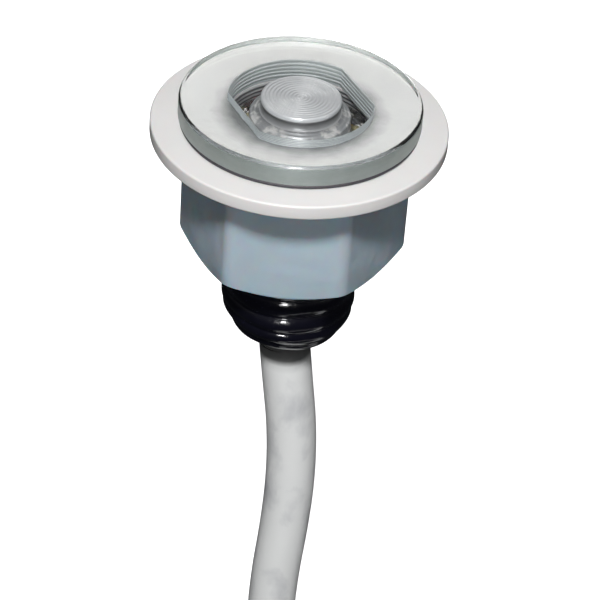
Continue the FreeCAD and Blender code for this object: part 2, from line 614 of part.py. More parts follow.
revolved("gland_washer", [
    ("Sizes.stem_dia / 2 + Sizes.stem_play", GLAND_FACE),
    ("Sizes.gland_flats / 2", GLAND_FACE),
    ("Sizes.gland_flats / 2", BARREL_END),
    ("Sizes.stem_dia / 2 + Sizes.stem_play", BARREL_END),
])

locknut = body("gland_locknut")
hex_block(locknut, "locknut_hex", "Sizes.gland_flats", CAVITY_FOOT, "Sizes.locknut_thick")
before_bore = locknut.Tip
feature(locknut, "Groove", "locknut_bore", sketch(locknut, "XZ_Plane", "locknut_bore_section", [
    ("0", f"{CAVITY_FOOT} - 1"),
    ("Sizes.stem_dia / 2 + 0.05", f"{CAVITY_FOOT} - 1"),
    ("Sizes.stem_dia / 2 + 0.05", f"{CAVITY_FOOT} + Sizes.locknut_thick + 1"),
    ("0", f"{CAVITY_FOOT} + Sizes.locknut_thick + 1"),
]))
must_cut(before_bore, locknut.Tip, "the locknut's bore")

revolved("cable_seal", [
    ("Sizes.cable_dia / 2 + 0.05", f"{CAGE_FOOT} - 0.6"),
    ("Sizes.cage_dia / 2 - 1.4", f"{CAGE_FOOT} - 0.6"),
    ("Sizes.cage_dia / 2 - 1.4", f"{CAGE_TOP} - 0.2"),
    ("Sizes.cable_dia / 2 + 0.05", f"{CAGE_TOP} - 0.2"),
])

revolved("gland_nut", [
    ("Sizes.cage_dia / 2 + 0.1", GLAND_NUT_TOP),
    ("Sizes.gland_nut_dia / 2", GLAND_NUT_TOP),
    ("Sizes.gland_nut_dia / 2", f"{GLAND_NUT_TOP} - Sizes.gland_nut_long + 4.6"),
    ("Sizes.gland_nut_dia / 2 - 1.4", f"{GLAND_NUT_TOP} - Sizes.gland_nut_long + 2"),
    ("Sizes.gland_nut_dia / 2 - 3.6", GLAND_NUT_FOOT),
    (CABLE_HOLE, GLAND_NUT_FOOT),
    (CABLE_HOLE, f"{GLAND_NUT_FOOT} + 2.2"),
    ("Sizes.cage_dia / 2 + 0.1", f"{CAGE_FOOT} - 1"),
])

# Tape wrap: self-bonding sealing tape wound over the gland and the first stretch of the cable.
revolved("tape_wrap", [
    ("Sizes.wrap_dia / 2 - 0.8", WRAP_TOP),
    ("Sizes.wrap_dia / 2", f"{WRAP_TOP} - 0.6"),
    ("Sizes.wrap_dia / 2", f"{WRAP_FOOT} + 7.4"),
    ("Sizes.wrap_dia / 2 - 0.7", f"{WRAP_FOOT} + 5.2"),
    ("Sizes.wrap_dia / 2 - 2.2", f"{WRAP_FOOT} + 3"),
    ("Sizes.wrap_dia / 2 - 4.4", f"{WRAP_FOOT} + 1.2"),
    ("Sizes.cable_dia / 2 + 1", WRAP_FOOT),
    ("Sizes.cable_dia / 2 + 0.05", WRAP_FOOT),
    ("Sizes.cable_dia / 2 + 0.05", f"{GLAND_NUT_FOOT} - Sizes.wrap_gap"),
    ("Sizes.gland_nut_dia / 2 - 3.6 + Sizes.wrap_gap", f"{GLAND_NUT_FOOT} - Sizes.wrap_gap"),
    ("Sizes.gland_nut_dia / 2 - 1.4 + Sizes.wrap_gap", f"{GLAND_NUT_FOOT} + 2 - Sizes.wrap_gap"),
    ("Sizes.gland_nut_dia / 2 + Sizes.wrap_gap", f"{GLAND_NUT_FOOT} + 4.6"),
    ("Sizes.gland_nut_dia / 2 + Sizes.wrap_gap", f"{GLAND_NUT_TOP} + 0.2"),
    (f"{R_HEX} + Sizes.wrap_gap / 2", f"{GLAND_NUT_TOP} + 0.2"),
    (f"{R_HEX} + Sizes.wrap_gap / 2", WRAP_TOP),
])

# The cable's own start inside the light: the sheath through the gland, and three conductors up to the driver.
wrap_foot = -size["barrel_long"] - size["wrap_gap"] - size["wrap_long"]
keep(cylinder("cable_start", "Sizes.cable_dia", f"{STEM_TOP} + 0.6 - {WRAP_FOOT}", "0", "0", WRAP_FOOT), "cable_inner")
CORE_NAMES = ("brown", "blue", "earth")
for k, colour in enumerate(CORE_NAMES):
    x, y = on_ring("4.6", str(90 + 120 * k))
    foot = f"({STEM_TOP} + 0.6)"
    keep(cylinder(f"core_{colour}_wire", "Sizes.core_wire_dia", f"{DRIVER_FOOT} - {foot}", x, y, foot), f"core_{colour}")

# What clamps the wall: a rubber gasket, a slip washer that stays still while the nut turns, and the lock nut.
revolved("wall_gasket", [
    ("Sizes.crest_dia / 2 + Sizes.ring_gap", WASHER_TOP),
    ("Sizes.gasket_dia / 2", WASHER_TOP),
    ("Sizes.gasket_dia / 2", "Sizes.gasket_seat"),
    ("Sizes.crest_dia / 2 + Sizes.ring_gap", "Sizes.gasket_seat"),
])
revolved("slip_washer", [
    ("Sizes.crest_dia / 2 + Sizes.ring_gap", NUT_TOP),
    ("Sizes.washer_dia / 2", NUT_TOP),
    ("Sizes.washer_dia / 2", WASHER_TOP),
    ("Sizes.crest_dia / 2 + Sizes.ring_gap", WASHER_TOP),
])

nut = body("lock_nut")
hex_block(nut, "nut_hex", "Sizes.nut_flats", NUT_FOOT, "Sizes.nut_high", "Sizes.nut_angle")
before_chamfer = nut.Tip
chamfer_rise = "(Sizes.nut_flats / sqrt(3) + 1 - Sizes.chamfer_circle / 2) * tan(Sizes.chamfer_angle)"
feature(nut, "Groove", "nut_chamfer", sketch(nut, "XZ_Plane", "chamfer_section", [
    ("Sizes.chamfer_circle / 2", NUT_FOOT),
    ("Sizes.chamfer_circle / 2", f"{NUT_FOOT} - 1"),
    ("Sizes.nut_flats / sqrt(3) + 1", f"{NUT_FOOT} - 1"),
    ("Sizes.nut_flats / sqrt(3) + 1", f"{NUT_FOOT} + {chamfer_rise}"),
]))
must_cut(before_chamfer, nut.Tip, "the nut's chamfer")
nut_bore = f"({ROOT} + Sizes.nut_gap)"
nut_relief = "(Sizes.crest_dia / 2 + Sizes.nut_gap + 0.25)"
thread_foot = f"({NUT_TOP} - Sizes.nut_thread_long)"
before_bore = nut.Tip
feature(nut, "Groove", "nut_bore", sketch(nut, "XZ_Plane", "nut_bore_section", [
    ("0", f"{NUT_TOP} + 1"),
    (f"{nut_bore} + Sizes.nut_lead_in + 1", f"{NUT_TOP} + 1"),
    (nut_bore, f"{NUT_TOP} - Sizes.nut_lead_in"),
    (nut_bore, thread_foot),
    (nut_relief, f"{thread_foot} - 1"),
    (nut_relief, f"{NUT_FOOT} - 1"),
    ("0", f"{NUT_FOOT} - 1"),
]))
must_cut(before_bore, nut.Tip, "the nut's bore")
# The nut's groove is the barrel's ridge grown by the play, and starts a whole number of turns from it.
turns_up = math.floor((size["barrel_long"] - size["pitch"] - size["gasket_thick"] - size["washer_thick"]
                       - size["nut_thread_long"]) / size["pitch"]) - 1
groove_mid = f"({BARREL_END} + {turns_up} * Sizes.pitch)"
groove_tip = "(Sizes.crest_dia / 2 + Sizes.nut_gap)"
groove_root = f"({nut_bore} - 0.1)"


def groove_half(radius):
    """Half the groove's width at a radius: the ridge's flank, carried on, and the play."""
    return f"(Sizes.crest_flat / 2 + (Sizes.crest_dia / 2 - {radius}) * {slope} + Sizes.thread_play)"


thread_groove = sketch(nut, "XZ_Plane", "nut_thread_section", [
    (groove_root, f"{groove_mid} - {groove_half(groove_root)}"),
    (groove_tip, f"{groove_mid} - {groove_half(groove_tip)}"),
    (groove_tip, f"{groove_mid} + {groove_half(groove_tip)}"),
    (groove_root, f"{groove_mid} + {groove_half(groove_root)}"),
])
before_thread = nut.Tip
helix(nut, "SubtractiveHelix", "nut_thread", thread_groove, "Sizes.nut_thread_long + 3 * Sizes.pitch")
must_cut(before_thread, nut.Tip, "the nut's thread")

# Supply lead. It hangs out of the wrap, swings over and runs into a coil that lies on the floor; the points are in
# millimetres and were chosen by hand.
LEAD = [
    V(0, 0, wrap_foot), V(1.0, 0, -54), V(2.7, 0, -67), V(3.2, 0, -80), V(2.6, 0, -93), V(1.5, 0, -105.5),
    V(1.1, 0, -119.5), V(5.2, 0, -136), V(14.7, 0, -150.7), V(28.5, 0, -161.5), V(45, 0, -167.2),
    V(62.8, -2.5, -167.8), V(78.2, -11.4, -167.9),
]
TAIL = [V(-12.7, -54, -187.4), V(-13, -38, -187.6), V(-12.2, -21, -188.5), V(-10, -5, -188.9)]
COIL_CENTRE = V(45, -48.2, 0)
COIL_TOP = -163.1


def cord_piece(label, points):
    """A stretch of the cable whose arcs are as large as its runs allow."""
    radii = []
    for k in range(1, len(points) - 1):
        back, ahead = points[k - 1] - points[k], points[k + 1] - points[k]
        turn = math.pi - back.getAngle(ahead)
        radii.append(0.45 * min(back.Length, ahead.Length) / math.tan(turn / 2))
    length = wire_piece(label, points, radii, size["cable_dia"])
    print(label, "length", round(length, 1), "arc radii", [round(r, 1) for r in radii])


cord_piece("cable_lead", LEAD)
cord_piece("cable_tail", TAIL)

# The coil's solid: a ring of the outer shape of its turns, side by side and on each other.
turn_pitch = "(Sizes.cable_dia + Sizes.coil_gap)"
half_wide = f"({turn_pitch} * (Sizes.coil_columns - 1) + Sizes.cable_dia) / 2"
coil_high = f"({turn_pitch} * (Sizes.coil_layers - 1) + Sizes.cable_dia)"
coil = body("cable_coil")
soft = "Sizes.cable_dia * 0.3"
in_side, out_side = f"(Sizes.coil_mid_dia / 2 - {half_wide})", f"(Sizes.coil_mid_dia / 2 + {half_wide})"
feature(coil, "Revolution", "coil_turned", sketch(coil, "XZ_Plane", "coil_section", [
    (f"{in_side} + {soft}", "0"),
    (f"{out_side} - {soft}", "0"),
    (out_side, f"-{soft}"),
    (out_side, f"-{coil_high} + {soft}"),
    (f"{out_side} - {soft}", f"-{coil_high}"),
    (f"{in_side} + {soft}", f"-{coil_high}"),
    (in_side, f"-{coil_high} + {soft}"),
    (in_side, f"-{soft}"),
]))
coil.Placement = FreeCAD.Placement(COIL_CENTRE + V(0, 0, COIL_TOP), FreeCAD.Rotation())

# Two hook-and-loop ties round the coil, each a flat loop of strap.
TIE_ANGLES = (220, 330)
ties = []
tie_inner_wide = f"(2 * {half_wide} + 2 * Sizes.tie_gap)"
tie_inner_high = f"({coil_high} + 2 * Sizes.tie_gap)"
for k, angle in enumerate(TIE_ANGLES):
    outer = box(f"tie_outer_{k}", f"{tie_inner_wide} + 2 * Sizes.tie_thick", "Sizes.tie_wide",
                f"{tie_inner_high} + 2 * Sizes.tie_thick")
    inner = box(f"tie_inner_{k}", tie_inner_wide, "Sizes.tie_wide + 2", tie_inner_high, "0", "0", "Sizes.tie_thick")
    strap = cut(f"tie_{k}", outer, [inner])
    heading = math.radians(angle)
    out = V(math.cos(heading), math.sin(heading), 0) * (size["coil_mid_dia"] / 2)
    drop = COIL_TOP - (size["cable_dia"] + size["coil_gap"]) * (size["coil_layers"] - 1) - size["cable_dia"]
    strap.Placement = FreeCAD.Placement(COIL_CENTRE + out + V(0, 0, drop - size["tie_gap"] - size["tie_thick"]),
                                        FreeCAD.Rotation(V(0, 0, 1), angle))
    ties.append(strap)
group("coil_ties", ties)

# The lead's far end: three stripped-back conductors with crimped ferrules, for a junction box.
tail_heading = (TAIL[-1] - TAIL[-2]).normalize()
tail_side = V(-tail_heading.y, tail_heading.x, 0).normalize()
tail_up = tail_heading.cross(tail_side)
ferrules = []
for k, colour in enumerate(CORE_NAMES):
    offset = tail_side * (2.45 * (k - 1)) + tail_up * (1.1 if k == 1 else -1.1)
    start = TAIL[-1] + offset
    points = [start, start + tail_heading * 8,
              start + tail_heading * 18 + tail_side * (2.6 * (k - 1)) - V(0, 0, 1.2 if k == 1 else 0.4)]
    wire_piece(f"tail_core_{colour}", points, [12], size["core_wire_dia"])
    end = points[-1]
    pointing = (points[-1] - points[-2]).normalize()
    collar = Part.makeCylinder(size["core_wire_dia"] / 2 + 0.35, 2.6, end, pointing)
    pin = Part.makeCylinder(0.75, 8.0, end, pointing)
    ferrules.append(collar.fuse(pin).removeSplitter())
crimped = keep(doc.addObject("Part::Feature", "ferrule_shapes"), "tail_ferrules")
crimped.Shape = Part.makeCompound(ferrules)
crimped.Placement = FreeCAD.Placement(V(0, 0, 0), FreeCAD.Rotation())

doc.recompute()
for thing in doc.Objects:
    if "Invalid" in thing.State or "Error" in thing.State:
        raise RuntimeError(f"{thing.Label} failed: {thing.State}")
os.makedirs("parts", exist_ok=True)
for label, thing in nodes:
    shape = thing.Shape
    if shape.isNull() or not shape.isValid() or not shape.Solids:
        raise RuntimeError(f"{label} has no valid solid")
    shape.exportStep(f"parts/{label}.step")
print(len(nodes), "sub-parts written")
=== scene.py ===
import bmesh
import bpy
import math
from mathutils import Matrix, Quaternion, Vector, noise


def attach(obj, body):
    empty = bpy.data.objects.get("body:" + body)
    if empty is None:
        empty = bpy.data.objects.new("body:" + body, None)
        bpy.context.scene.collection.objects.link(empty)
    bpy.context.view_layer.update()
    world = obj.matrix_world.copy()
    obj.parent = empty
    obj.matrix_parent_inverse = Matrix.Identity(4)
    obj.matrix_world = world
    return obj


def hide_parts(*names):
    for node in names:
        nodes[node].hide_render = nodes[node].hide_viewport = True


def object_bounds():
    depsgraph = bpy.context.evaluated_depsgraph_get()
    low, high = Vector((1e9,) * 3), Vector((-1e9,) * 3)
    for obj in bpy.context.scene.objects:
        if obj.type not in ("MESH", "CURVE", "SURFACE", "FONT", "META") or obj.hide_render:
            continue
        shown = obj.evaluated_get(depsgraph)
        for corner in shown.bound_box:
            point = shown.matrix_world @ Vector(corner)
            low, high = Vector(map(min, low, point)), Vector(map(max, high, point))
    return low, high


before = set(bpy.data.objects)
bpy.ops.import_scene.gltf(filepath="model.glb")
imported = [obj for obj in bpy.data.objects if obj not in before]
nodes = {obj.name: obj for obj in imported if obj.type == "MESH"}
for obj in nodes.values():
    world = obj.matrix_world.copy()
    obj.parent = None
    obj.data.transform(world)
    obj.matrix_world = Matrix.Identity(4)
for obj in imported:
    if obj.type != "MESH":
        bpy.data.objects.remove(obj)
cad_low, cad_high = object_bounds()

# Camera: a long lens, above and in front of the light, with the light's axis leaning a little to the left.
# It stands 0.44 m away and looks down at about 37 degrees.
camera_away, camera_lift, camera_drop = 0.440, math.radians(33.4), math.radians(3.8)
camera_turn, camera_roll = math.radians(0.377), math.radians(4.335)
camera = bpy.data.objects.new("camera", bpy.data.cameras.new("camera"))
bpy.context.scene.collection.objects.link(camera)
camera.location = (0, -camera_away * math.cos(camera_lift), camera_away * math.sin(camera_lift))
slope = camera_lift + camera_drop
level = math.cos(slope)
sight = Vector((math.sin(camera_turn) * level, math.cos(camera_turn) * level, -math.sin(slope)))
camera.rotation_mode = "QUATERNION"
camera.rotation_quaternion = sight.to_track_quat("-Z", "Y") @ Quaternion((0, 0, 1), camera_roll)
camera.data.sensor_width, camera.data.lens = 36, 149.9
camera.data.clip_start, camera.data.clip_end = 0.01, 20
bpy.context.scene.camera = camera


# Supply lead: two cores and earth in a grey flexible sheath, 9.6 mm across. It hangs out of the tape, swings
# over and lies wound in a coil, in two columns of three layers. What is left runs out beside the coil and ends
# stripped.
MM = 0.001
CABLE = 9.6
LEAD = [
    (0, 0, -45.4), (1.0, 0, -54), (2.7, 0, -67), (3.2, 0, -80), (2.6, 0, -93), (1.5, 0, -105.5),
    (1.1, 0, -119.5), (5.2, 0, -136), (14.7, 0, -150.7), (28.5, 0, -161.5), (45, 0, -167.2),
    (62.8, -2.5, -167.8), (78.2, -11.4, -167.9),
]
TAIL = [(-12.7, -54, -187.4), (-13, -38, -187.6), (-12.2, -21, -188.5), (-10, -5, -188.9)]
COIL_MIDDLE = (45, -48.2)
INNER, OUTER = 48.15, 57.85
TOP, MIDDLE, BOTTOM = -167.9, -177.6, -187.3


def eased(share):
    share = min(max(share, 0.0), 1.0)
    return share * share * (3 - 2 * share)


COIL_START, COIL_END = 26, -1600
COIL_MOVES = [(-165, 85, OUTER, TOP), (-465, 55, OUTER, MIDDLE), (-740, 85, INNER, MIDDLE),
              (-1045, 55, INNER, BOTTOM), (-1320, 85, OUTER, BOTTOM)]


def coil_place(angle):
    """The lead's distance from the coil's middle, and its height, at an angle of its winding."""
    column, layer = INNER, TOP
    for start, length, to_column, to_layer in COIL_MOVES:
        share = eased((start - angle) / length)
        column += (to_column - column) * share
        layer += (to_layer - layer) * share
    return column, layer


def coil_points(step=22.5):
    """The coil's turns, clockwise from above."""
    points = []
    angle = COIL_START
    while angle > COIL_END:
        column, layer = coil_place(angle)
        reach = column / math.cos(math.radians(step / 2))
        points.append((COIL_MIDDLE[0] + reach * math.cos(math.radians(angle)),
                       COIL_MIDDLE[1] + reach * math.sin(math.radians(angle)), layer))
        angle -= step
    return points


route = LEAD + coil_points() + TAIL
curve = bpy.data.curves.new("supply_lead", "CURVE")
curve.dimensions = "3D"
curve.bevel_depth = CABLE / 2 * MM
curve.bevel_resolution = 12
curve.resolution_u = 10
curve.use_fill_caps = True
spline = curve.splines.new("NURBS")
spline.points.add(len(route) - 1)
for place, point in zip(spline.points, route):
    place.co = (point[0] * MM, point[1] * MM, point[2] * MM, 1)
spline.order_u = 3
spline.use_endpoint_u = True
supply_lead = bpy.data.objects.new("supply_lead", curve)
bpy.context.scene.collection.objects.link(supply_lead)


class Finish:
    """A material under construction: its principled shader and the nodes that feed it, in millimetres."""

    def __init__(self, name, colour, rough, **constants):
        self.material = bpy.data.materials.new(name)
        self.material.use_nodes = True
        self.tree = self.material.node_tree
        self.shader = self.tree.nodes["Principled BSDF"]
        self.set("Base Color", (*colour, 1))
        self.set("Roughness", rough)
        for key, value in constants.items():
            self.set(key.replace("_", " "), value)
        place = self.add("ShaderNodeTexCoord")
        scaled = self.add("ShaderNodeMapping")
        scaled.inputs["Scale"].default_value = (1000, 1000, 1000)
        self.join(place.outputs["Object"], scaled.inputs["Vector"])
        self.place = scaled.outputs["Vector"]
        self.height = None

    def set(self, socket, value):
        self.shader.inputs[socket].default_value = value

    def add(self, kind, **settings):
        node = self.tree.nodes.new(kind)
        for key, value in settings.items():
            if hasattr(node, key):
                setattr(node, key, value)
            else:
                node.inputs[key].default_value = value
        return node

    def join(self, output, target):
        self.tree.links.new(output, target)

    def maths(self, operation, first, second=None):
        node = self.add("ShaderNodeMath", operation=operation)
        for k, value in enumerate((first, second)):
            if isinstance(value, (int, float)):
                node.inputs[k].default_value = value
            elif value is not None:
                self.join(value, node.inputs[k])
        return node.outputs[0]

    def cloud(self, per_mm, detail=3, stretch=(1, 1, 1), distort=0.0):
        """Soft noise from 0 to 1, with about so many lumps in a millimetre."""
        squeezed = self.add("ShaderNodeMapping")
        squeezed.inputs["Scale"].default_value = [per_mm * s for s in stretch]
        self.join(self.place, squeezed.inputs["Vector"])
        node = self.add("ShaderNodeTexNoise", Scale=1.0, Detail=detail, Distortion=distort)
        self.join(squeezed.outputs["Vector"], node.inputs["Vector"])
        return node.outputs["Fac"]

    def ramp(self, value, stops):
        """Colours or greys at places from 0 to 1."""
        node = self.add("ShaderNodeValToRGB")
        elements = node.color_ramp.elements
        while len(elements) < len(stops):
            elements.new(0.5)
        for element, (where, colour) in zip(elements, stops):
            element.position = where
            element.color = (*colour, 1) if isinstance(colour, tuple) else (colour, colour, colour, 1)
        self.join(value, node.inputs["Fac"])
        return node.outputs["Color"]

    def colour(self, output):
        self.join(output, self.shader.inputs["Base Color"])

    def mix(self, share, first, second, blend="MIX"):
        node = self.add("ShaderNodeMix", data_type="RGBA", blend_type=blend)
        for socket, value in ((node.inputs[0], share), (node.inputs[6], first), (node.inputs[7], second)):
            if isinstance(value, tuple):
                socket.default_value = (*value, 1)
            elif isinstance(value, (int, float)):
                socket.default_value = value
            else:
                self.join(value, socket)
        return node.outputs[2]

    def rough(self, value, low, high):
        node = self.add("ShaderNodeMapRange")
        node.inputs["To Min"].default_value, node.inputs["To Max"].default_value = low, high
        self.join(value, node.inputs["Value"])
        self.join(node.outputs[0], self.shader.inputs["Roughness"])

    def relief(self, value, depth):
        """Bump so many millimetres deep; calls add up."""
        node = self.add("ShaderNodeBump", Strength=1.0, Distance=depth * MM)
        self.join(value, node.inputs["Height"])
        if self.height is not None:
            self.join(self.height, node.inputs["Normal"])
        self.height = node.outputs["Normal"]
        self.join(self.height, self.shader.inputs["Normal"])

    def from_axis(self):
        """Distance from the light's own axis, and height, in millimetres."""
        split = self.add("ShaderNodeSeparateXYZ")
        self.join(self.place, split.inputs[0])
        x, y, z = split.outputs
        squares = self.maths("ADD", self.maths("MULTIPLY", x, x), self.maths("MULTIPLY", y, y))
        return self.maths("SQRT", squares), z


sheath = Finish("grey_sheath_rubber", (0.5, 0.51, 0.52), 0.42, Specular_IOR_Level=0.45)
stains = sheath.ramp(sheath.cloud(0.17, 4, (1, 1, 0.6), 0.2),
                     [(0.0, (0.88, 0.89, 0.88)), (0.50, (0.84, 0.85, 0.845)),
                      (0.68, (0.66, 0.67, 0.68)), (0.90, (0.40, 0.41, 0.43))])
# Painted shadow: the sheath is darkest just below the tape wrap and fades out downwards, standing for the
# wrap's cast shadow on the cable.
WRAP_SHADOW_FOOT, WRAP_SHADOW_TALL = -50.6, 6.6
sheath_height = sheath.from_axis()[1]
painted_wrap_shadow = sheath.ramp(
    sheath.maths("DIVIDE", sheath.maths("SUBTRACT", sheath_height, WRAP_SHADOW_FOOT), WRAP_SHADOW_TALL),
    [(0, 1.0), (0.25, 0.84), (0.46, 0.16), (1, 0.05)])
sheath.colour(sheath.mix(1.0, stains, painted_wrap_shadow, "MULTIPLY"))
sheath.rough(sheath.cloud(0.4, 4), 0.36, 0.52)
sheath.relief(sheath.cloud(0.22, 3, (1, 1, 0.3)), 0.12)
sheath.relief(sheath.cloud(5, 2), 0.012)
curve.materials.append(sheath.material)
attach(supply_lead, "light")
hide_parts("cable_lead", "cable_coil", "cable_tail")


# Coil ties: two straps of black hook-and-loop tape round the coil. Each has its free end pressed down on
# itself, so a pull opens it.
def skin(name, rings, body, finish, closed=False, sharp=32):
    """A mesh of rings with equally many points, in millimetres; closed joins the last ring to the first."""
    count = len(rings[0])
    vertices = [tuple(c * MM for c in point) for ring in rings for point in ring]
    faces = []
    last = len(rings) if closed else len(rings) - 1
    for r in range(last):
        here, there = r * count, (r + 1) % len(rings) * count
        for k in range(count):
            after = (k + 1) % count
            faces.append((here + k, here + after, there + after, there + k))
    if not closed:
        for ring in (0, len(rings) - 1):
            middle = [sum(vertices[ring * count + k][c] for k in range(count)) / count for c in range(3)]
            vertices.append(tuple(middle))
            for k in range(count):
                faces.append((ring * count + k, ring * count + (k + 1) % count, len(vertices) - 1))
    mesh = bpy.data.meshes.new(name)
    mesh.from_pydata(vertices, [], faces)
    shell = bmesh.new()
    shell.from_mesh(mesh)
    bmesh.ops.remove_doubles(shell, verts=shell.verts, dist=1e-8)
    bmesh.ops.recalc_face_normals(shell, faces=shell.faces)
    shell.to_mesh(mesh)
    shell.free()
    mesh.shade_smooth()
    mesh.set_sharp_from_angle(angle=math.radians(sharp))
    made = bpy.data.objects.new(name, mesh)
    bpy.context.scene.collection.objects.link(made)
    mesh.materials.append(finish.material)
    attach(made, body)
    return made


webbing = Finish("hook_and_loop_tape", (0.03, 0.03, 0.032), 0.85, Sheen_Weight=0.5)
webbing.colour(webbing.ramp(webbing.cloud(1.6, 5), [(0, (0.018, 0.018, 0.02)), (1, (0.06, 0.06, 0.065))]))
webbing.relief(webbing.cloud(3.5, 5), 0.35)
weave = webbing.add("ShaderNodeTexVoronoi", Scale=2.4)
webbing.join(webbing.place, weave.inputs["Vector"])
webbing.relief(weave.outputs["Distance"], 0.15)
TIE_WIDE, TIE_THICK, TIE_GAP = 10.0, 1.2, 0.35
TIE_ANGLES = (220, 330)
TIE_SECTION = [(0, -0.5), (0, -0.25), (0, 0.25), (0, 0.5), (1, 0.5), (1, 0.25), (1, -0.25), (1, -0.5)]
for number, tie_angle in enumerate(TIE_ANGLES):
    turn = math.radians(tie_angle)
    held = [coil_place(tie_angle - 360 * k) for k in range(1, 6) if tie_angle - 360 * k > COIL_END - 20]
    rings = []
    for k in range(72):
        bend = math.radians(5 * k)
        c_r, c_z = max(held, key=lambda at: at[0] * math.cos(bend) + at[1] * math.sin(bend))
        ring = []
        for out, across in TIE_SECTION:
            reach = CABLE / 2 + TIE_GAP + out * (TIE_THICK - 0.05)
            r, z = c_r + reach * math.cos(bend), c_z + reach * math.sin(bend)
            side = across * TIE_WIDE
            x = COIL_MIDDLE[0] + r * math.cos(turn) - side * math.sin(turn)
            y = COIL_MIDDLE[1] + r * math.sin(turn) + side * math.cos(turn)
            ring.append((x, y, z))
        rings.append(ring)
    strap = skin(f"coil_tie_{number + 1}", rings, "light", webbing, True, 40)
    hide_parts("coil_ties")

# Floor and light: a glowing white floor that takes no shadow, under a dim sky. A small strong key lamp stands
# high in front, a weak one low in front, and soft ones behind, above and at the sides.
floor_level = cad_low.z
bpy.ops.mesh.primitive_plane_add(size=80, location=(0, 0, floor_level))
floor = bpy.context.object
floor.name = "studio_floor"
floor_finish = Finish("white_paper", (0.86, 0.86, 0.855), 0.9)
floor_finish.set("Emission Color", (1, 1, 1, 1))
floor_finish.set("Emission Strength", 1.0)
floor_finish.colour(floor_finish.ramp(floor_finish.cloud(0.02), [(0, 0.85), (1, 0.87)]))
floor.data.materials.append(floor_finish.material)
floor.visible_diffuse = floor.visible_glossy = False

world = bpy.data.worlds.new("studio")
bpy.context.scene.world = world
world.use_nodes = True
sky = world.node_tree
direction = sky.nodes.new("ShaderNodeTexCoord")
height = sky.nodes.new("ShaderNodeSeparateXYZ")
shade = sky.nodes.new("ShaderNodeValToRGB")
sky.links.new(direction.outputs["Generated"], height.inputs[0])
sky.links.new(height.outputs[2], shade.inputs["Fac"])
shade.color_ramp.elements[0].position, shade.color_ramp.elements[0].color = 0.0, (0.05, 0.055, 0.06, 1)
shade.color_ramp.elements[1].position, shade.color_ramp.elements[1].color = 0.75, (0.80, 0.81, 0.82, 1)
sky.links.new(shade.outputs[0], sky.nodes["Background"].inputs["Color"])
sky.nodes["Background"].inputs["Strength"].default_value = 0.22


def lamp(name, side, lift, away, size, power, colour=(1, 1, 1)):
    """A square soft lamp that points at the light's middle; side is its angle to the right of the camera's."""
    data = bpy.data.lights.new(name, "AREA")
    data.energy, data.size, data.color = power, size, colour
    made = bpy.data.objects.new(name, data)
    bpy.context.scene.collection.objects.link(made)
    turn, up = math.radians(side), math.radians(lift)
    made.location = Vector((math.sin(turn) * math.cos(up), -math.cos(turn) * math.cos(up), math.sin(up))) * away
    made.rotation_mode = "QUATERNION"
    made.rotation_quaternion = (Vector((0, 0, -0.02)) - made.location).to_track_quat("-Z", "Y")
    return made


lamp("key", side=-3, lift=51.5, away=0.75, size=0.085, power=5.5)
lamp("catch", side=-3, lift=4, away=0.75, size=0.08, power=1.15)
lamp("back", side=170, lift=-4, away=1.0, size=0.35, power=1.5)
lamp("fill_left", side=-65, lift=30, away=1.0, size=0.4, power=0.12)
lamp("fill_right", side=65, lift=25, away=1.0, size=0.4, power=0.35)
lamp("top", side=160, lift=65, away=1.0, size=0.6, power=0.8)
bpy.context.scene.view_settings.view_transform = "Standard"


# Housing: flange and threaded barrel in one white polycarbonate moulding. Its bore is turned and keeps the
# tool's lines. The barrel goes through the pool wall, and the lock nut clamps it there.
def turned(name, outline, body, finish, steps=192, closed=True, sharp=32):
    """A turned piece from its half section: pairs of distance from the axis and height, in millimetres."""
    angles = [2 * math.pi * k / steps for k in range(steps)]
    rings = [[(radius * math.cos(a), radius * math.sin(a), z) for a in angles] for radius, z in outline]
    return skin(name, rings, body, finish, closed, sharp)


def arc(middle, radius, start, end, steps=6):
    """Points on a round edge of a half section, between two angles in degrees."""
    points = []
    for k in range(steps + 1):
        angle = math.radians(start + (end - start) * k / steps)
        points.append((middle[0] + radius * math.cos(angle), middle[1] + radius * math.sin(angle)))
    return points


white = Finish("white_moulding", (0.86, 0.85, 0.845), 0.38, Subsurface_Weight=0.08, Subsurface_Scale=0.002)
away, level = white.from_axis()
inside = white.maths("LESS_THAN", away, 13.2)
lines = white.add("ShaderNodeTexWave", wave_type="BANDS", bands_direction="Z", Scale=0.4, Distortion=0.5,
                  Detail=2)
white.join(white.place, lines.inputs["Vector"])
clean = white.ramp(white.cloud(0.12, 4), [(0, (0.71, 0.697, 0.688)), (1, (0.77, 0.757, 0.75))])
# Painted shade: the bore's turned lines are coloured dark, and darker still deeper down the bore, standing for
# the shade inside the recess.
shaded_tool_lines = white.ramp(lines.outputs["Fac"], [(0, (0.10, 0.105, 0.11)), (1, (0.36, 0.365, 0.37))])
painted_bore_shade = white.ramp(white.maths("DIVIDE", white.maths("ADD", level, 4.0), 6.7),
                        [(0, 0.12), (0.45, 0.35), (1, 1.0)])
white.colour(white.mix(inside, clean, white.mix(1.0, shaded_tool_lines, painted_bore_shade, "MULTIPLY")))
white.relief(white.maths("MULTIPLY", lines.outputs["Fac"], inside), 0.25)
white.relief(white.cloud(1.2, 4), 0.02)
FLANGE_R, FLANGE_TOP, FLANGE_EDGE = 26.25, 2.7, 0.4
BORE_R, BORE_GROOVE, BORE_END = 12.75, 12.98, -8.8
CAVITY_R, CAVITY_END, CABLE_HOLE, BARREL_END = 11.6, -20.6, 8.05, -23.0
SEAT_R, SEAT_DEEP = 22.3, 0.4
crest, root, pitch = 15.92, 15.0, 1.5
groove_z = FLANGE_TOP
bore = [(BORE_R, 2.55)]
while groove_z > -7.4:
    groove_z -= 0.8
    bore += [(BORE_R, groove_z + 0.35), (BORE_GROOVE, groove_z + 0.2), (BORE_GROOVE, groove_z),
             (BORE_R, groove_z - 0.12)]
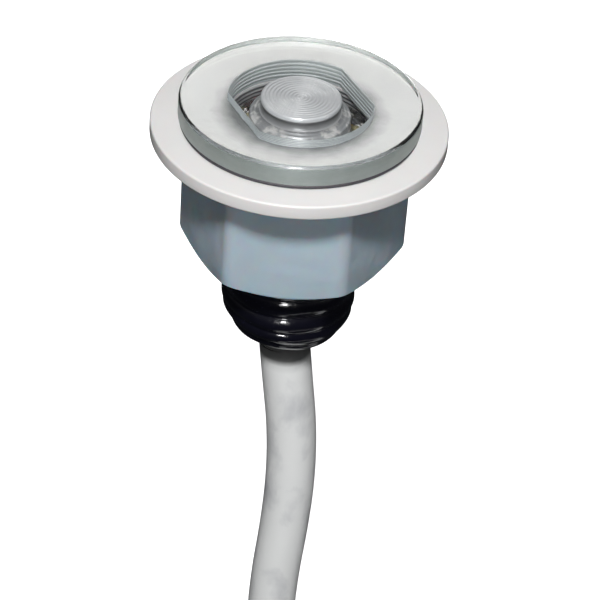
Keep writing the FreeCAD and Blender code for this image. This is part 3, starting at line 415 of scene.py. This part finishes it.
housing_outline = bore + [
    (BORE_R, BORE_END), (CAVITY_R, BORE_END), (CAVITY_R, CAVITY_END), (CABLE_HOLE, CAVITY_END),
    (CABLE_HOLE, BARREL_END), (root, BARREL_END), (root, SEAT_DEEP), (SEAT_R, SEAT_DEEP), (SEAT_R, 0.0)]
housing_outline += arc((FLANGE_R - FLANGE_EDGE, FLANGE_EDGE), FLANGE_EDGE, -90, 0, 5)
housing_outline += arc((FLANGE_R - FLANGE_EDGE, FLANGE_TOP - FLANGE_EDGE), FLANGE_EDGE, 0, 90, 5)
housing_outline += [(12.9, FLANGE_TOP)]
flange = turned("housing_moulding", housing_outline, "light", white, 256)
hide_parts("housing")
# The thread is a ridge wound round the barrel, right-handed like the real one.
thread_rings = []
THREAD_STEPS, THREAD_TURNS, THREAD_START = 96, 12, -21.5
for k in range(THREAD_STEPS * THREAD_TURNS + 1):
    angle = 2 * math.pi * k / THREAD_STEPS
    z = THREAD_START + pitch * angle / (2 * math.pi)
    grow = min(1.0, k / 24, (THREAD_STEPS * THREAD_TURNS - k) / 24)
    tip = root - 0.05 + (crest - root) * max(grow, 0.06)
    section = [(root - 0.1, z - 0.66), (tip, z - 0.14), (tip, z + 0.14), (root - 0.1, z + 0.66)]
    thread_rings.append([(r * math.cos(angle), r * math.sin(angle), h) for r, h in section])
thread = skin("barrel_thread", thread_rings, "light", white, False, 25)

# Lens seal: a ring of black silicone rubber, squeezed between lens and flange just inside the lens's edge, so
# that it bulges a little.
black_rubber = Finish("black_silicone", (0.035, 0.033, 0.038), 0.5)
black_rubber.colour(black_rubber.ramp(black_rubber.cloud(0.8, 4),
                                      [(0, (0.03, 0.028, 0.034)), (1, (0.055, 0.05, 0.058))]))
black_rubber.relief(black_rubber.cloud(3, 3), 0.03)
seal_outline = [(19.5, 2.72), (20.9, 2.72)] + arc((20.87, 3.07), 0.34, -60, 60, 6)
seal_outline += [(20.9, 3.42), (19.5, 3.42)]
seal = turned("lens_seal_ring", seal_outline, "light", black_rubber)
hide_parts("lens_seal")

# Lens: a clear disc of moulded polycarbonate with a rounded upper edge. Its opening is round with two flats
# for a fitting key. The rim and the opening's wall are left as turned.
clear = Finish("clear_polycarbonate", (0.955, 0.965, 0.96), 0.035, Transmission_Weight=1.0, IOR=1.58)
clear.rough(clear.cloud(0.5, 5), 0.02, 0.10)
clear.relief(clear.cloud(0.35, 3), 0.05)
clear.relief(clear.cloud(2.2, 5), 0.012)
LENS_LOW, LENS_HIGH, LENS_ROUND = 3.5, 7.25, 0.8
FLATS, FLATS_TURN, OPENING = 11.05, math.radians(28), 12.75
lean = math.acos(FLATS / OPENING)
corner_angles = [FLATS_TURN + base + side * lean for base in (0, math.pi) for side in (-1, 1)]
lens_angles = sorted([2 * math.pi * k / 320 for k in range(320)] + [a % (2 * math.pi) for a in corner_angles])


def opening_edge(angle):
    """How far the opening's edge is from the axis."""
    flat = abs(math.cos(angle - FLATS_TURN))
    return min(OPENING, FLATS / flat if flat > 1e-6 else OPENING)


def lens_ring(how_far, z):
    return [(how_far(a) * math.cos(a), how_far(a) * math.sin(a), z) for a in lens_angles]


lens_rings = [lens_ring(opening_edge, LENS_LOW + 0.1), lens_ring(lambda a: opening_edge(a) + 0.08, LENS_LOW)]
for radius, z in ([(21.0, LENS_LOW)] + arc((21.05, LENS_LOW + 0.35), 0.35, -70, 0, 4)
                  + arc((21.4 - LENS_ROUND, LENS_HIGH - LENS_ROUND), LENS_ROUND, 0, 90, 10)):
    lens_rings.append(lens_ring(lambda a, r=radius: r, z))
for share in (0.66, 0.33):
    lens_rings.append(lens_ring(lambda a, s=share: opening_edge(a) + (20.6 - opening_edge(a)) * s, LENS_HIGH))
lens_rings += [lens_ring(lambda a: opening_edge(a) + 0.12, LENS_HIGH),
               lens_ring(opening_edge, LENS_HIGH - 0.12)]
wall_z = LENS_HIGH - 0.12
while wall_z > LENS_LOW + 0.6:
    wall_z -= 0.75
    lens_rings += [lens_ring(opening_edge, wall_z + 0.3),
                   lens_ring(lambda a: opening_edge(a) + 0.1, wall_z + 0.2),
                   lens_ring(lambda a: opening_edge(a) + 0.1, wall_z + 0.08),
                   lens_ring(opening_edge, wall_z)]
lens = skin("lens_disc", lens_rings, "light", clear, True, 30)
# Painted shade: the frosted grey-green of the lens's turned edge is made dark, standing for the shade and dark
# refraction seen in the lens's side.
shaded_turned_edge = Finish("turned_lens_edge", (0.50, 0.545, 0.515), 0.42, Transmission_Weight=0.55, IOR=1.5)
shaded_turned_edge.colour(shaded_turned_edge.ramp(shaded_turned_edge.cloud(0.35, 5, (1, 1, 3)),
                                    [(0, (0.23, 0.27, 0.25)), (1, (0.37, 0.41, 0.39))]))
shaded_turned_edge.relief(shaded_turned_edge.cloud(1.2, 5, (1, 1, 5)), 0.08)
lens.data.materials.append(shaded_turned_edge.material)
bored = Finish("bored_lens_wall", (0.5, 0.53, 0.545), 0.3, Transmission_Weight=0.45, IOR=1.5)
passes = bored.add("ShaderNodeTexWave", wave_type="BANDS", bands_direction="Z", Scale=0.42, Distortion=0.8,
                   Detail=2)
bored.join(bored.place, passes.inputs["Vector"])
bored.colour(bored.ramp(passes.outputs["Fac"],
                        [(0, (0.24, 0.27, 0.28)), (0.5, (0.35, 0.38, 0.39)), (1, (0.46, 0.49, 0.50))]))
bored.relief(passes.outputs["Fac"], 0.12)
lens.data.materials.append(bored.material)
for face in lens.data.polygons:
    reach = math.hypot(face.center.x, face.center.y)
    if reach > 21.25 * MM and face.center.z < (LENS_HIGH - 0.45) * MM:
        face.material_index = 1
    elif reach < opening_edge(math.atan2(face.center.y, face.center.x)) * MM + 0.11 * MM:
        face.material_index = 2
lens.visible_shadow = False
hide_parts("lens")
# A thin white bonding layer under the lens hides the seal from above. Near the opening it has painted shade: a
# grey band with uneven edges, widest at the front.
bond = Finish("white_bond", (0.50, 0.495, 0.49), 0.8)
shifted = bond.add("ShaderNodeMapping")
shifted.inputs["Location"].default_value = (0, 1.5, 0)
bond.join(bond.place, shifted.inputs["Vector"])
span = bond.add("ShaderNodeVectorMath", operation="LENGTH")
flat = bond.add("ShaderNodeMapping")
flat.inputs["Scale"].default_value = (1, 1, 0)
bond.join(shifted.outputs["Vector"], flat.inputs["Vector"])
bond.join(flat.outputs["Vector"], span.inputs[0])
uneven = bond.maths("ADD", span.outputs["Value"], bond.maths("MULTIPLY", bond.cloud(0.35, 4), 2.4))
# Painted shade: the layer turns grey towards the opening, standing for the shade and refracted bore wall seen
# through the lens there.
opening_shade_share = bond.maths("DIVIDE", bond.maths("SUBTRACT", uneven, 12.9), 4.0)
even = bond.ramp(bond.cloud(0.1, 4), [(0, (0.37, 0.367, 0.36)), (1, (0.45, 0.446, 0.44))])
painted_opening_shade = bond.ramp(opening_shade_share, [(0, (0.16, 0.17, 0.175)), (0.6, (0.72, 0.72, 0.73)), (1, (1, 1, 1))])
bond.colour(bond.mix(1.0, even, painted_opening_shade, "MULTIPLY"))
backing_rings = [lens_ring(reach, z) for reach, z in (
    (lambda a: opening_edge(a) + 0.2, 3.43), (lambda a: 21.1, 3.43), (lambda a: 21.1, 3.485),
    (lambda a: opening_edge(a) + 0.2, 3.485))]
backing = skin("lens_backing", backing_rings, "light", bond, True)

# Heat-spreader post: turned aluminium, with the fine rings of its facing cut on top and a flare below its
# neck. Its base seats in the bore on an O-ring and carries the LED board.
aluminium = Finish("turned_aluminium", (0.8, 0.815, 0.83), 0.36, Metallic=0.4)
away, level = aluminium.from_axis()
wave = aluminium.maths("SINE", aluminium.maths("MULTIPLY", away, 9.5))
wave_fine = aluminium.maths("SINE", aluminium.maths("MULTIPLY", away, 31.0))
grain = aluminium.maths("ADD", wave, aluminium.maths("MULTIPLY", wave_fine, 0.2))
facing = aluminium.ramp(aluminium.cloud(0.5, 4), [(0, (0.62, 0.64, 0.66)), (1, (0.78, 0.79, 0.80))])
# Painted reflections: on the flare the aluminium is coloured dark grey with near-white patches, standing for
# glints off wet resin round the post's foot.
flare_painted_glints = aluminium.ramp(aluminium.cloud(0.55, 5, (1, 1, 1), 0.5),
                         [(0, (0.22, 0.23, 0.24)), (0.5, (0.34, 0.35, 0.36)),
                          (0.6, (0.62, 0.62, 0.61)), (1, (0.92, 0.92, 0.90))])
# Painted shade: the post's colour is darkened in a band under the rim, over the neck and the top of the flare.
painted_neck_shade = aluminium.ramp(aluminium.maths("DIVIDE", aluminium.maths("SUBTRACT", level, 3.9), 3.7),
                            [(0, 1.0), (0.2, 0.95), (0.36, 0.42), (0.62, 0.20), (0.78, 0.34), (0.84, 1.0)])
on_flare = aluminium.maths("GREATER_THAN", away, 7.25)
aluminium.colour(aluminium.mix(1.0, aluminium.mix(on_flare, facing, flare_painted_glints), painted_neck_shade, "MULTIPLY"))
aluminium.relief(grain, 0.05)
aluminium.rough(aluminium.cloud(1.5, 4), 0.24, 0.40)
POST_TOP, FLARE_R = 7.6, 9.0
BASE_R, BASE_TOP, BASE_END, RING_GROOVE = 12.6, -4.8, -8.8, 11.1
post_outline = [(0, POST_TOP), (3, POST_TOP)] + arc((6.85, POST_TOP - 0.25), 0.25, 90, 0, 4)
post_outline += [(7.1, 6.75), (6.95, 6.65), (6.75, 6.3), (6.75, 5.7), (6.95, 5.25), (7.5, 4.85), (8.3, 4.5),
                 (8.85, 4.2), (FLARE_R, 3.9), (FLARE_R, -3.4), (FLARE_R, BASE_TOP), (BASE_R, BASE_TOP)]
post_outline += [(BASE_R, -6.45), (RING_GROOVE, -6.45), (RING_GROOVE, -8.0), (BASE_R, -8.0),
                 (BASE_R, BASE_END), (0, BASE_END)]
post = turned("heat_post", post_outline, "light", aluminium, 192, False, 30)
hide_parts("core_post")


def dress(finish, *names):
    """Gives carried-over CAD parts this finish and smooths their round faces."""
    for name in names:
        part = nodes[name]
        for place in part.material_slots:
            place.material = finish.material
        if not part.material_slots:
            part.data.materials.append(finish.material)
        part.data.shade_smooth()
        part.data.set_sharp_from_angle(angle=math.radians(28))


dress(black_rubber, "post_o_ring")

# LED board: a ring board with black solder mask, screwed to the post's base, with six white LED packages
# soldered round it. Each has a phosphor-filled cup under a clear silicone dome, and two gilt pads beside it.
solder_mask = Finish("black_solder_mask", (0.03, 0.03, 0.035), 0.4, Coat_Weight=0.3)
solder_mask.colour(solder_mask.ramp(solder_mask.cloud(0.7, 4),
                                    [(0, (0.02, 0.02, 0.024)), (1, (0.05, 0.05, 0.055))]))
solder_mask.relief(solder_mask.cloud(3, 3), 0.01)
dress(solder_mask, "led_board")
# Painted shade: the white LED packages are coloured mid grey, standing for the shade of the recess they sit in.
led_package_shaded = Finish("white_led_package", (0.5, 0.5, 0.5), 0.4)
led_package_shaded.colour(led_package_shaded.ramp(led_package_shaded.cloud(1.5, 3), [(0, (0.42, 0.42, 0.42)), (1, (0.55, 0.55, 0.54))]))
led_package_shaded.relief(led_package_shaded.cloud(6, 2), 0.01)
dress(led_package_shaded, "led_bases")
dome = Finish("led_dome_silicone", (0.6, 0.55, 0.32), 0.06, Transmission_Weight=0.7, IOR=1.42)
dome.colour(dome.ramp(dome.cloud(1.2, 3), [(0, (0.55, 0.49, 0.26)), (1, (0.66, 0.62, 0.40))]))
dress(dome, "led_domes")
gilt = Finish("gilt_pads", (0.83, 0.62, 0.24), 0.3, Metallic=1.0)
gilt.colour(gilt.ramp(gilt.cloud(2, 3), [(0, (0.42, 0.30, 0.12)), (1, (0.55, 0.42, 0.18))]))
LED_RING, LED_FIRST, BOARD_TOP = 10.9, 24, -3.2
pads = bmesh.new()
for k in range(6):
    turn = math.radians(LED_FIRST + 60 * k)
    for side in (-1, 1):
        corners = []
        for across, along in ((-1.1, -0.35), (1.1, -0.35), (1.1, 0.35), (-1.1, 0.35)):
            x, y = LED_RING + along, side * 1.85 + across * 0.36
            corners.append((x * math.cos(turn) - y * math.sin(turn), x * math.sin(turn) + y * math.cos(turn)))
        low = [pads.verts.new((x * MM, y * MM, (BOARD_TOP + 0.002) * MM)) for x, y in corners]
        high = [pads.verts.new((x * MM, y * MM, (BOARD_TOP + 0.07) * MM)) for x, y in corners]
        pads.faces.new(list(reversed(low)))
        pads.faces.new(high)
        for c in range(4):
            pads.faces.new((low[c], low[(c + 1) % 4], high[(c + 1) % 4], high[c]))


def finished(name, shell, body, finish, sharp=30):
    """A piece from a bmesh in metres."""
    mesh = bpy.data.meshes.new(name)
    bmesh.ops.recalc_face_normals(shell, faces=shell.faces)
    shell.to_mesh(mesh)
    shell.free()
    mesh.shade_smooth()
    mesh.set_sharp_from_angle(angle=math.radians(sharp))
    made = bpy.data.objects.new(name, mesh)
    bpy.context.scene.collection.objects.link(made)
    mesh.materials.append(finish.material)
    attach(made, body)
    return made


finished("led_pads", pads, "light", gilt)
zinc = Finish("zinc_plated_steel", (0.62, 0.62, 0.60), 0.28, Metallic=1.0)
zinc.colour(zinc.ramp(zinc.cloud(1.2, 4), [(0, (0.52, 0.53, 0.52)), (1, (0.72, 0.72, 0.69))]))
zinc.rough(zinc.cloud(2, 4), 0.2, 0.4)
dress(zinc, "board_screws", "driver_screws")

# LED leads: two thin stranded wires in soft PVC, one red and one black, soldered between the driver below and
# the LED board.
red_wire = Finish("red_pvc", (0.55, 0.03, 0.02), 0.35)
red_wire.colour(red_wire.ramp(red_wire.cloud(0.8, 3), [(0, (0.42, 0.02, 0.015)), (1, (0.62, 0.05, 0.03))]))
red_wire.relief(red_wire.cloud(4, 2), 0.01)
dress(red_wire, "led_wire_red")
black_wire = Finish("black_pvc", (0.02, 0.02, 0.022), 0.35)
black_wire.colour(black_wire.ramp(black_wire.cloud(0.8, 3),
                                  [(0, (0.014, 0.014, 0.016)), (1, (0.04, 0.04, 0.045))]))
black_wire.relief(black_wire.cloud(4, 2), 0.01)
dress(black_wire, "led_wire_black")

# Resin: clear potting, poured over the LED board after wiring to keep water out. It creeps up the post and the
# bore's wall as it sets.
resin = Finish("clear_potting_resin", (0.965, 0.965, 0.95), 0.03, Transmission_Weight=1.0, IOR=1.5)
resin.rough(resin.cloud(0.6, 4), 0.02, 0.09)
resin.relief(resin.cloud(0.28, 3), 0.35)
resin.relief(resin.cloud(1.6, 4), 0.06)
RESIN_TOP, RESIN_FOOT, RESIN_INNER, RESIN_OUTER = -0.35, -3.15, 9.02, 12.72
resin_outline = [(RESIN_INNER, RESIN_FOOT), (RESIN_INNER, RESIN_TOP + 1.3), (9.12, RESIN_TOP + 0.7),
                 (9.4, RESIN_TOP + 0.2), (9.9, RESIN_TOP), (10.8, RESIN_TOP - 0.1), (11.7, RESIN_TOP),
                 (12.25, RESIN_TOP + 0.18), (12.6, RESIN_TOP + 0.5), (RESIN_OUTER, RESIN_TOP + 0.9),
                 (RESIN_OUTER, RESIN_FOOT)]
cast = turned("cast_resin", resin_outline, "light", resin, 192, True, 40)
for corner in cast.data.vertices:
    if corner.co.z > (RESIN_TOP - 0.5) * MM:
        lump = noise.noise(corner.co * 420) * 0.16 + noise.noise(corner.co * 1100 + Vector((3, 1, 7))) * 0.07
        corner.co.z += lump * MM
cast.visible_shadow = False
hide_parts("clear_resin")

# Driver: a round board of green laminate on three standoffs below the post. It carries the rectifier,
# capacitor, choke, controller and resistors that feed the LEDs.
laminate = Finish("green_laminate", (0.05, 0.22, 0.10), 0.35, Coat_Weight=0.4)
laminate.colour(laminate.ramp(laminate.cloud(0.9, 5), [(0, (0.03, 0.15, 0.07)), (1, (0.07, 0.28, 0.13))]))
laminate.relief(laminate.cloud(4, 3), 0.01)
dress(laminate, "driver_board")
moulded = Finish("black_moulded_parts", (0.02, 0.02, 0.02), 0.45)
moulded.colour(moulded.ramp(moulded.cloud(1, 3), [(0, (0.012, 0.012, 0.012)), (1, (0.035, 0.035, 0.035))]))
moulded.relief(moulded.cloud(5, 3), 0.02)
dress(moulded, "bridge_rectifier", "driver_ic")
can = Finish("capacitor_can", (0.16, 0.2, 0.33), 0.3, Metallic=0.5)
can.colour(can.ramp(can.cloud(1, 3), [(0, (0.12, 0.16, 0.28)), (1, (0.2, 0.24, 0.38))]))
dress(can, "smoothing_capacitor")
core = Finish("ferrite", (0.06, 0.06, 0.065), 0.55)
core.colour(core.ramp(core.cloud(1.4, 4), [(0, (0.04, 0.04, 0.044)), (1, (0.09, 0.09, 0.095))]))
core.relief(core.cloud(5, 3), 0.02)
dress(core, "inductor")
chips = Finish("chip_ceramic", (0.2, 0.25, 0.3), 0.4)
chips.colour(chips.ramp(chips.cloud(1, 3), [(0, (0.14, 0.18, 0.22)), (1, (0.26, 0.3, 0.35))]))
dress(chips, "resistors")
brass = Finish("nickel_plated_brass", (0.7, 0.66, 0.56), 0.25, Metallic=1.0)
brass.colour(brass.ramp(brass.cloud(1, 3), [(0, (0.62, 0.58, 0.48)), (1, (0.76, 0.72, 0.62))]))
dress(brass, "standoffs")

# Cable gland: moulded grey nylon, screwed into the barrel's end. Its dome nut squeezes a rubber seal on to the
# cable, and a flat lock nut holds it from inside.
grey_nylon = Finish("grey_nylon", (0.42, 0.43, 0.43), 0.45)
grey_nylon.colour(grey_nylon.ramp(grey_nylon.cloud(0.5, 4), [(0, (0.37, 0.38, 0.38)), (1, (0.46, 0.47, 0.47))]))
grey_nylon.relief(grey_nylon.cloud(3, 3), 0.02)
dress(grey_nylon, "gland_body", "gland_nut", "gland_locknut")
dress(black_rubber, "gland_washer", "cable_seal")

# The lead's end inside the light: the sheath held by the gland, and three copper conductors in coloured PVC
# that run up to the driver.
dress(sheath, "cable_inner")
brown = Finish("brown_pvc", (0.2, 0.08, 0.035), 0.4)
brown.colour(brown.ramp(brown.cloud(0.6, 3), [(0, (0.16, 0.06, 0.025)), (1, (0.24, 0.1, 0.045))]))
brown.relief(brown.cloud(3, 2), 0.01)
blue = Finish("blue_pvc", (0.03, 0.12, 0.5), 0.4)
blue.colour(blue.ramp(blue.cloud(0.6, 3), [(0, (0.025, 0.1, 0.42)), (1, (0.05, 0.16, 0.58))]))
blue.relief(blue.cloud(3, 2), 0.01)
earth = Finish("green_yellow_pvc", (0.1, 0.35, 0.06), 0.4)
sideways = earth.add("ShaderNodeSeparateXYZ")
earth.join(earth.place, sideways.inputs[0])
wave = earth.maths("SINE", earth.maths("MULTIPLY", sideways.outputs[0], 3.0))
stripe = earth.maths("GREATER_THAN", wave, 0.25)
green = earth.ramp(earth.cloud(0.8, 3), [(0, (0.05, 0.26, 0.05)), (1, (0.09, 0.36, 0.08))])
yellow = earth.ramp(earth.cloud(0.8, 3), [(0, (0.72, 0.62, 0.05)), (1, (0.8, 0.7, 0.08))])
earth.colour(earth.mix(stripe, green, yellow))
earth.relief(earth.cloud(3, 2), 0.01)
for finish, colour_name in ((brown, "brown"), (blue, "blue"), (earth, "earth")):
    dress(finish, "core_" + colour_name, "tail_core_" + colour_name)

# Wall gasket: a flat ring of black rubber in a shallow seat under the flange, where the nut's pull squeezes it
# against the wall.
gasket_outline = [(15.98, -1.47), (21.7, -1.47)] + arc((21.7, -1.2), 0.27, -90, 0, 4)
gasket_outline += [(21.97, 0.36), (15.98, 0.36)]
gasket = turned("flange_gasket", gasket_outline, "light", black_rubber, 192)
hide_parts("wall_gasket")

# Slip washer: a ring of hard acetal, loose on the barrel. It stays still against the gasket while the nut turns
# on it.
slippery = Finish("acetal_washer", (0.55, 0.55, 0.53), 0.35)
slippery.colour(slippery.ramp(slippery.cloud(0.4, 4), [(0, (0.48, 0.48, 0.46)), (1, (0.6, 0.6, 0.58))]))
slippery.relief(slippery.cloud(2.5, 3), 0.02)
washer_outline = [(16.1, -2.28), (18.25, -2.28)] + arc((18.25, -2.06), 0.22, -90, 0, 4)
washer_outline += arc((18.25, -1.74), 0.22, 0, 90, 4) + [(16.1, -1.52)]
washer = turned("slip_ring", washer_outline, "washer", slippery, 192)
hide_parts("slip_washer")

# Lock nut: a deep hexagon moulded in natural nylon, 36 mm across its flats, with rounded corners and a cone cut
# at its foot. It screws up the barrel to clamp the wall.
nylon = Finish("natural_nylon", (0.60, 0.635, 0.66), 0.33, Subsurface_Weight=0.6, Subsurface_Scale=0.005,
               Specular_IOR_Level=0.55)
nylon.colour(nylon.ramp(nylon.cloud(0.09, 4, (1, 1, 1), 0.4),
                        [(0, (0.41, 0.49, 0.555)), (0.5, (0.44, 0.535, 0.61)), (1, (0.50, 0.60, 0.67))]))
nylon.rough(nylon.cloud(0.5, 4), 0.28, 0.44)
nylon.relief(nylon.cloud(0.12, 2), 0.5)
nylon.relief(nylon.cloud(2.5, 4), 0.015)
NUT_TOP, NUT_FOOT, NUT_HALF, NUT_CORNER, NUT_TURN = -2.32, -23.18, 18.0, 2.8, -2.2
CHAMFER_START, CHAMFER = 17.7, math.tan(math.radians(29))


def nut_edge(angle):
    """How far the hexagon's side is from the axis at an angle in degrees."""
    from_face = abs((angle - NUT_TURN) % 60 - 30)
    phi = math.radians(from_face)
    if (NUT_HALF * math.tan(phi)) <= (NUT_HALF - NUT_CORNER) * math.tan(math.radians(30)):
        return NUT_HALF / math.cos(phi)
    centre = (NUT_HALF - NUT_CORNER) / math.cos(math.radians(30))
    beta = math.radians(30) - phi
    return centre * math.cos(beta) + math.sqrt(max(NUT_CORNER ** 2 - (centre * math.sin(beta)) ** 2, 0))


NUT_STEPS, NUT_BORE = 720, 16.15
nut_rings = []


def nut_ring(reach, level):
    ring = []
    for k in range(NUT_STEPS):
        degrees = 360 * k / NUT_STEPS
        side = nut_edge(degrees)
        away, z = reach(side), level(side)
        ring.append((away * math.cos(math.radians(degrees)), away * math.sin(math.radians(degrees)), z))
    nut_rings.append(ring)


def chamfer_z(side):
    return NUT_FOOT + (side - CHAMFER_START) * CHAMFER


nut_ring(lambda s: NUT_BORE, lambda s: NUT_TOP)
nut_ring(lambda s: s - 0.35, lambda s: NUT_TOP)
nut_ring(lambda s: s - 0.1, lambda s: NUT_TOP - 0.1)
nut_ring(lambda s: s, lambda s: NUT_TOP - 0.35)
for share in (0.25, 0.5, 0.75):
    nut_ring(lambda s: s, lambda s, f=share: NUT_TOP - 0.35 + (chamfer_z(s) + 0.35 - NUT_TOP + 0.35) * f)
nut_ring(lambda s: s, lambda s: chamfer_z(s) + 0.35)
nut_ring(lambda s: s - 0.05, lambda s: chamfer_z(s) + 0.12)
nut_ring(lambda s: max(s - 0.25, CHAMFER_START), lambda s: chamfer_z(s) - 0.06)
nut_ring(lambda s: s + (CHAMFER_START - s) * 0.6, lambda s: NUT_FOOT + (chamfer_z(s) - NUT_FOOT) * 0.4)
nut_ring(lambda s: CHAMFER_START, lambda s: NUT_FOOT + 0.05)
nut_ring(lambda s: CHAMFER_START - 0.25, lambda s: NUT_FOOT)
nut_ring(lambda s: 16.5, lambda s: NUT_FOOT)
nut_ring(lambda s: NUT_BORE, lambda s: NUT_FOOT + 0.35)
lock_nut = skin("hex_lock_nut", nut_rings, "nut", nylon, True, 34)
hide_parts("lock_nut")
# Its inner thread sits half a pitch from the barrel's, so the two stay meshed as it turns and travels.
nut_thread_rings = []
NUT_THREAD_TURNS = 8
for k in range(THREAD_STEPS * NUT_THREAD_TURNS + 1):
    angle = 2 * math.pi * k / THREAD_STEPS
    z = -20.75 - pitch + pitch * angle / (2 * math.pi)
    grow = max(min(1.0, k / 24, (THREAD_STEPS * NUT_THREAD_TURNS - k) / 24), 0.06)
    tip = 16.2 - (16.2 - 15.28) * grow
    section = [(16.25, z - 0.6), (tip, z - 0.12), (tip, z + 0.12), (16.25, z + 0.6)]
    nut_thread_rings.append([(r * math.cos(angle), r * math.sin(angle), h) for r, h in section])
nut_thread = skin("nut_thread", nut_thread_rings, "nut", nylon, False, 25)

# Tape wrap: self-bonding black tape, stretched and wound over the gland down on to the cable, so its turns melt
# into smooth overlapping rolls with a wet gloss.
tape = Finish("self_bonding_tape", (0.006, 0.006, 0.011), 0.16, Specular_IOR_Level=0.3, Coat_Weight=0.9,
              Coat_Roughness=0.06)
tape.colour(tape.ramp(tape.cloud(0.3, 4), [(0, (0.002, 0.002, 0.005)), (1, (0.006, 0.006, 0.012))]))
tape.rough(tape.cloud(0.5, 4), 0.12, 0.30)
tape.relief(tape.cloud(0.45, 3), 0.14)
tape.relief(tape.cloud(3, 3), 0.01)
WRAP_TOP, WRAP_END, WRAP_R, WRAP_LOW = -23.25, -43.7, 11.9, 4.95
TAPE_LEAD = 3.4


def wrap_reach(angle, z):
    """The wrap's outside: straight over the gland, then closing in on the cable, rounder on its right side."""
    fall = min(max((-34.0 - z) / (-34.0 - WRAP_END), 0), 1)
    side = math.cos(angle)
    round_share = 2.15 + 0.35 * side
    reach = WRAP_LOW + (WRAP_R - WRAP_LOW) * max(1 - fall ** round_share, 0) ** (1 / 1.45)
    climb = 0.17 * math.cos(angle + 2.4) + 0.09 * math.cos(2 * angle + z * 0.35)
    step = ((z - WRAP_TOP) / -TAPE_LEAD + climb + 0.25) % 1.0
    roll = 0.52 * (math.sin(math.pi * min(step * 1.06, 1.0)) ** 0.85) if z < -24 else 0.0
    fade = min(1, (-23.6 - z) / 2) if z < -23.6 else 0
    lump = noise.noise(Vector((math.cos(angle) * 2.2, math.sin(angle) * 2.2, z * 0.28))) * 0.22
    return reach + (roll + lump - 0.15) * max(fade, 0) * (1 - 0.6 * fall ** 6)


WRAP_ROWS, WRAP_STEPS = 150, 224
wrap_rings = []
for k in range(WRAP_ROWS + 1):
    share = k / WRAP_ROWS
    z = WRAP_TOP + (WRAP_END - WRAP_TOP) * share
    wrap_rings.append([])
    for step in range(WRAP_STEPS):
        angle = 2 * math.pi * step / WRAP_STEPS
        reach = wrap_reach(angle, z)
        wrap_rings[-1].append((reach * math.cos(angle), reach * math.sin(angle), z))
wrap_inside = [(4.88, WRAP_END), (4.88, -41.9), (6.9, -41.5), (9.1, -39.4), (10.5, -36.6), (10.5, -28.2),
               (11.1, -28.0), (11.1, WRAP_TOP)]
wrap_angles = [2 * math.pi * step / WRAP_STEPS for step in range(WRAP_STEPS)]
for reach, z in wrap_inside:
    wrap_rings.append([(reach * math.cos(a), reach * math.sin(a), z) for a in wrap_angles])
wrap = skin("tape_winding", wrap_rings, "light", tape, True, 60)
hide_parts("tape_wrap")

# Bare end of the lead: the three conductors stick out of the sheath, each with a ferrule of tinned copper
# crimped on.
tinned = Finish("tinned_copper", (0.72, 0.72, 0.73), 0.3, Metallic=1.0)
tinned.colour(tinned.ramp(tinned.cloud(1.5, 3), [(0, (0.62, 0.62, 0.63)), (1, (0.78, 0.78, 0.79))]))
tinned.relief(tinned.cloud(2.5, 3), 0.05)
dress(tinned, "tail_ferrules")
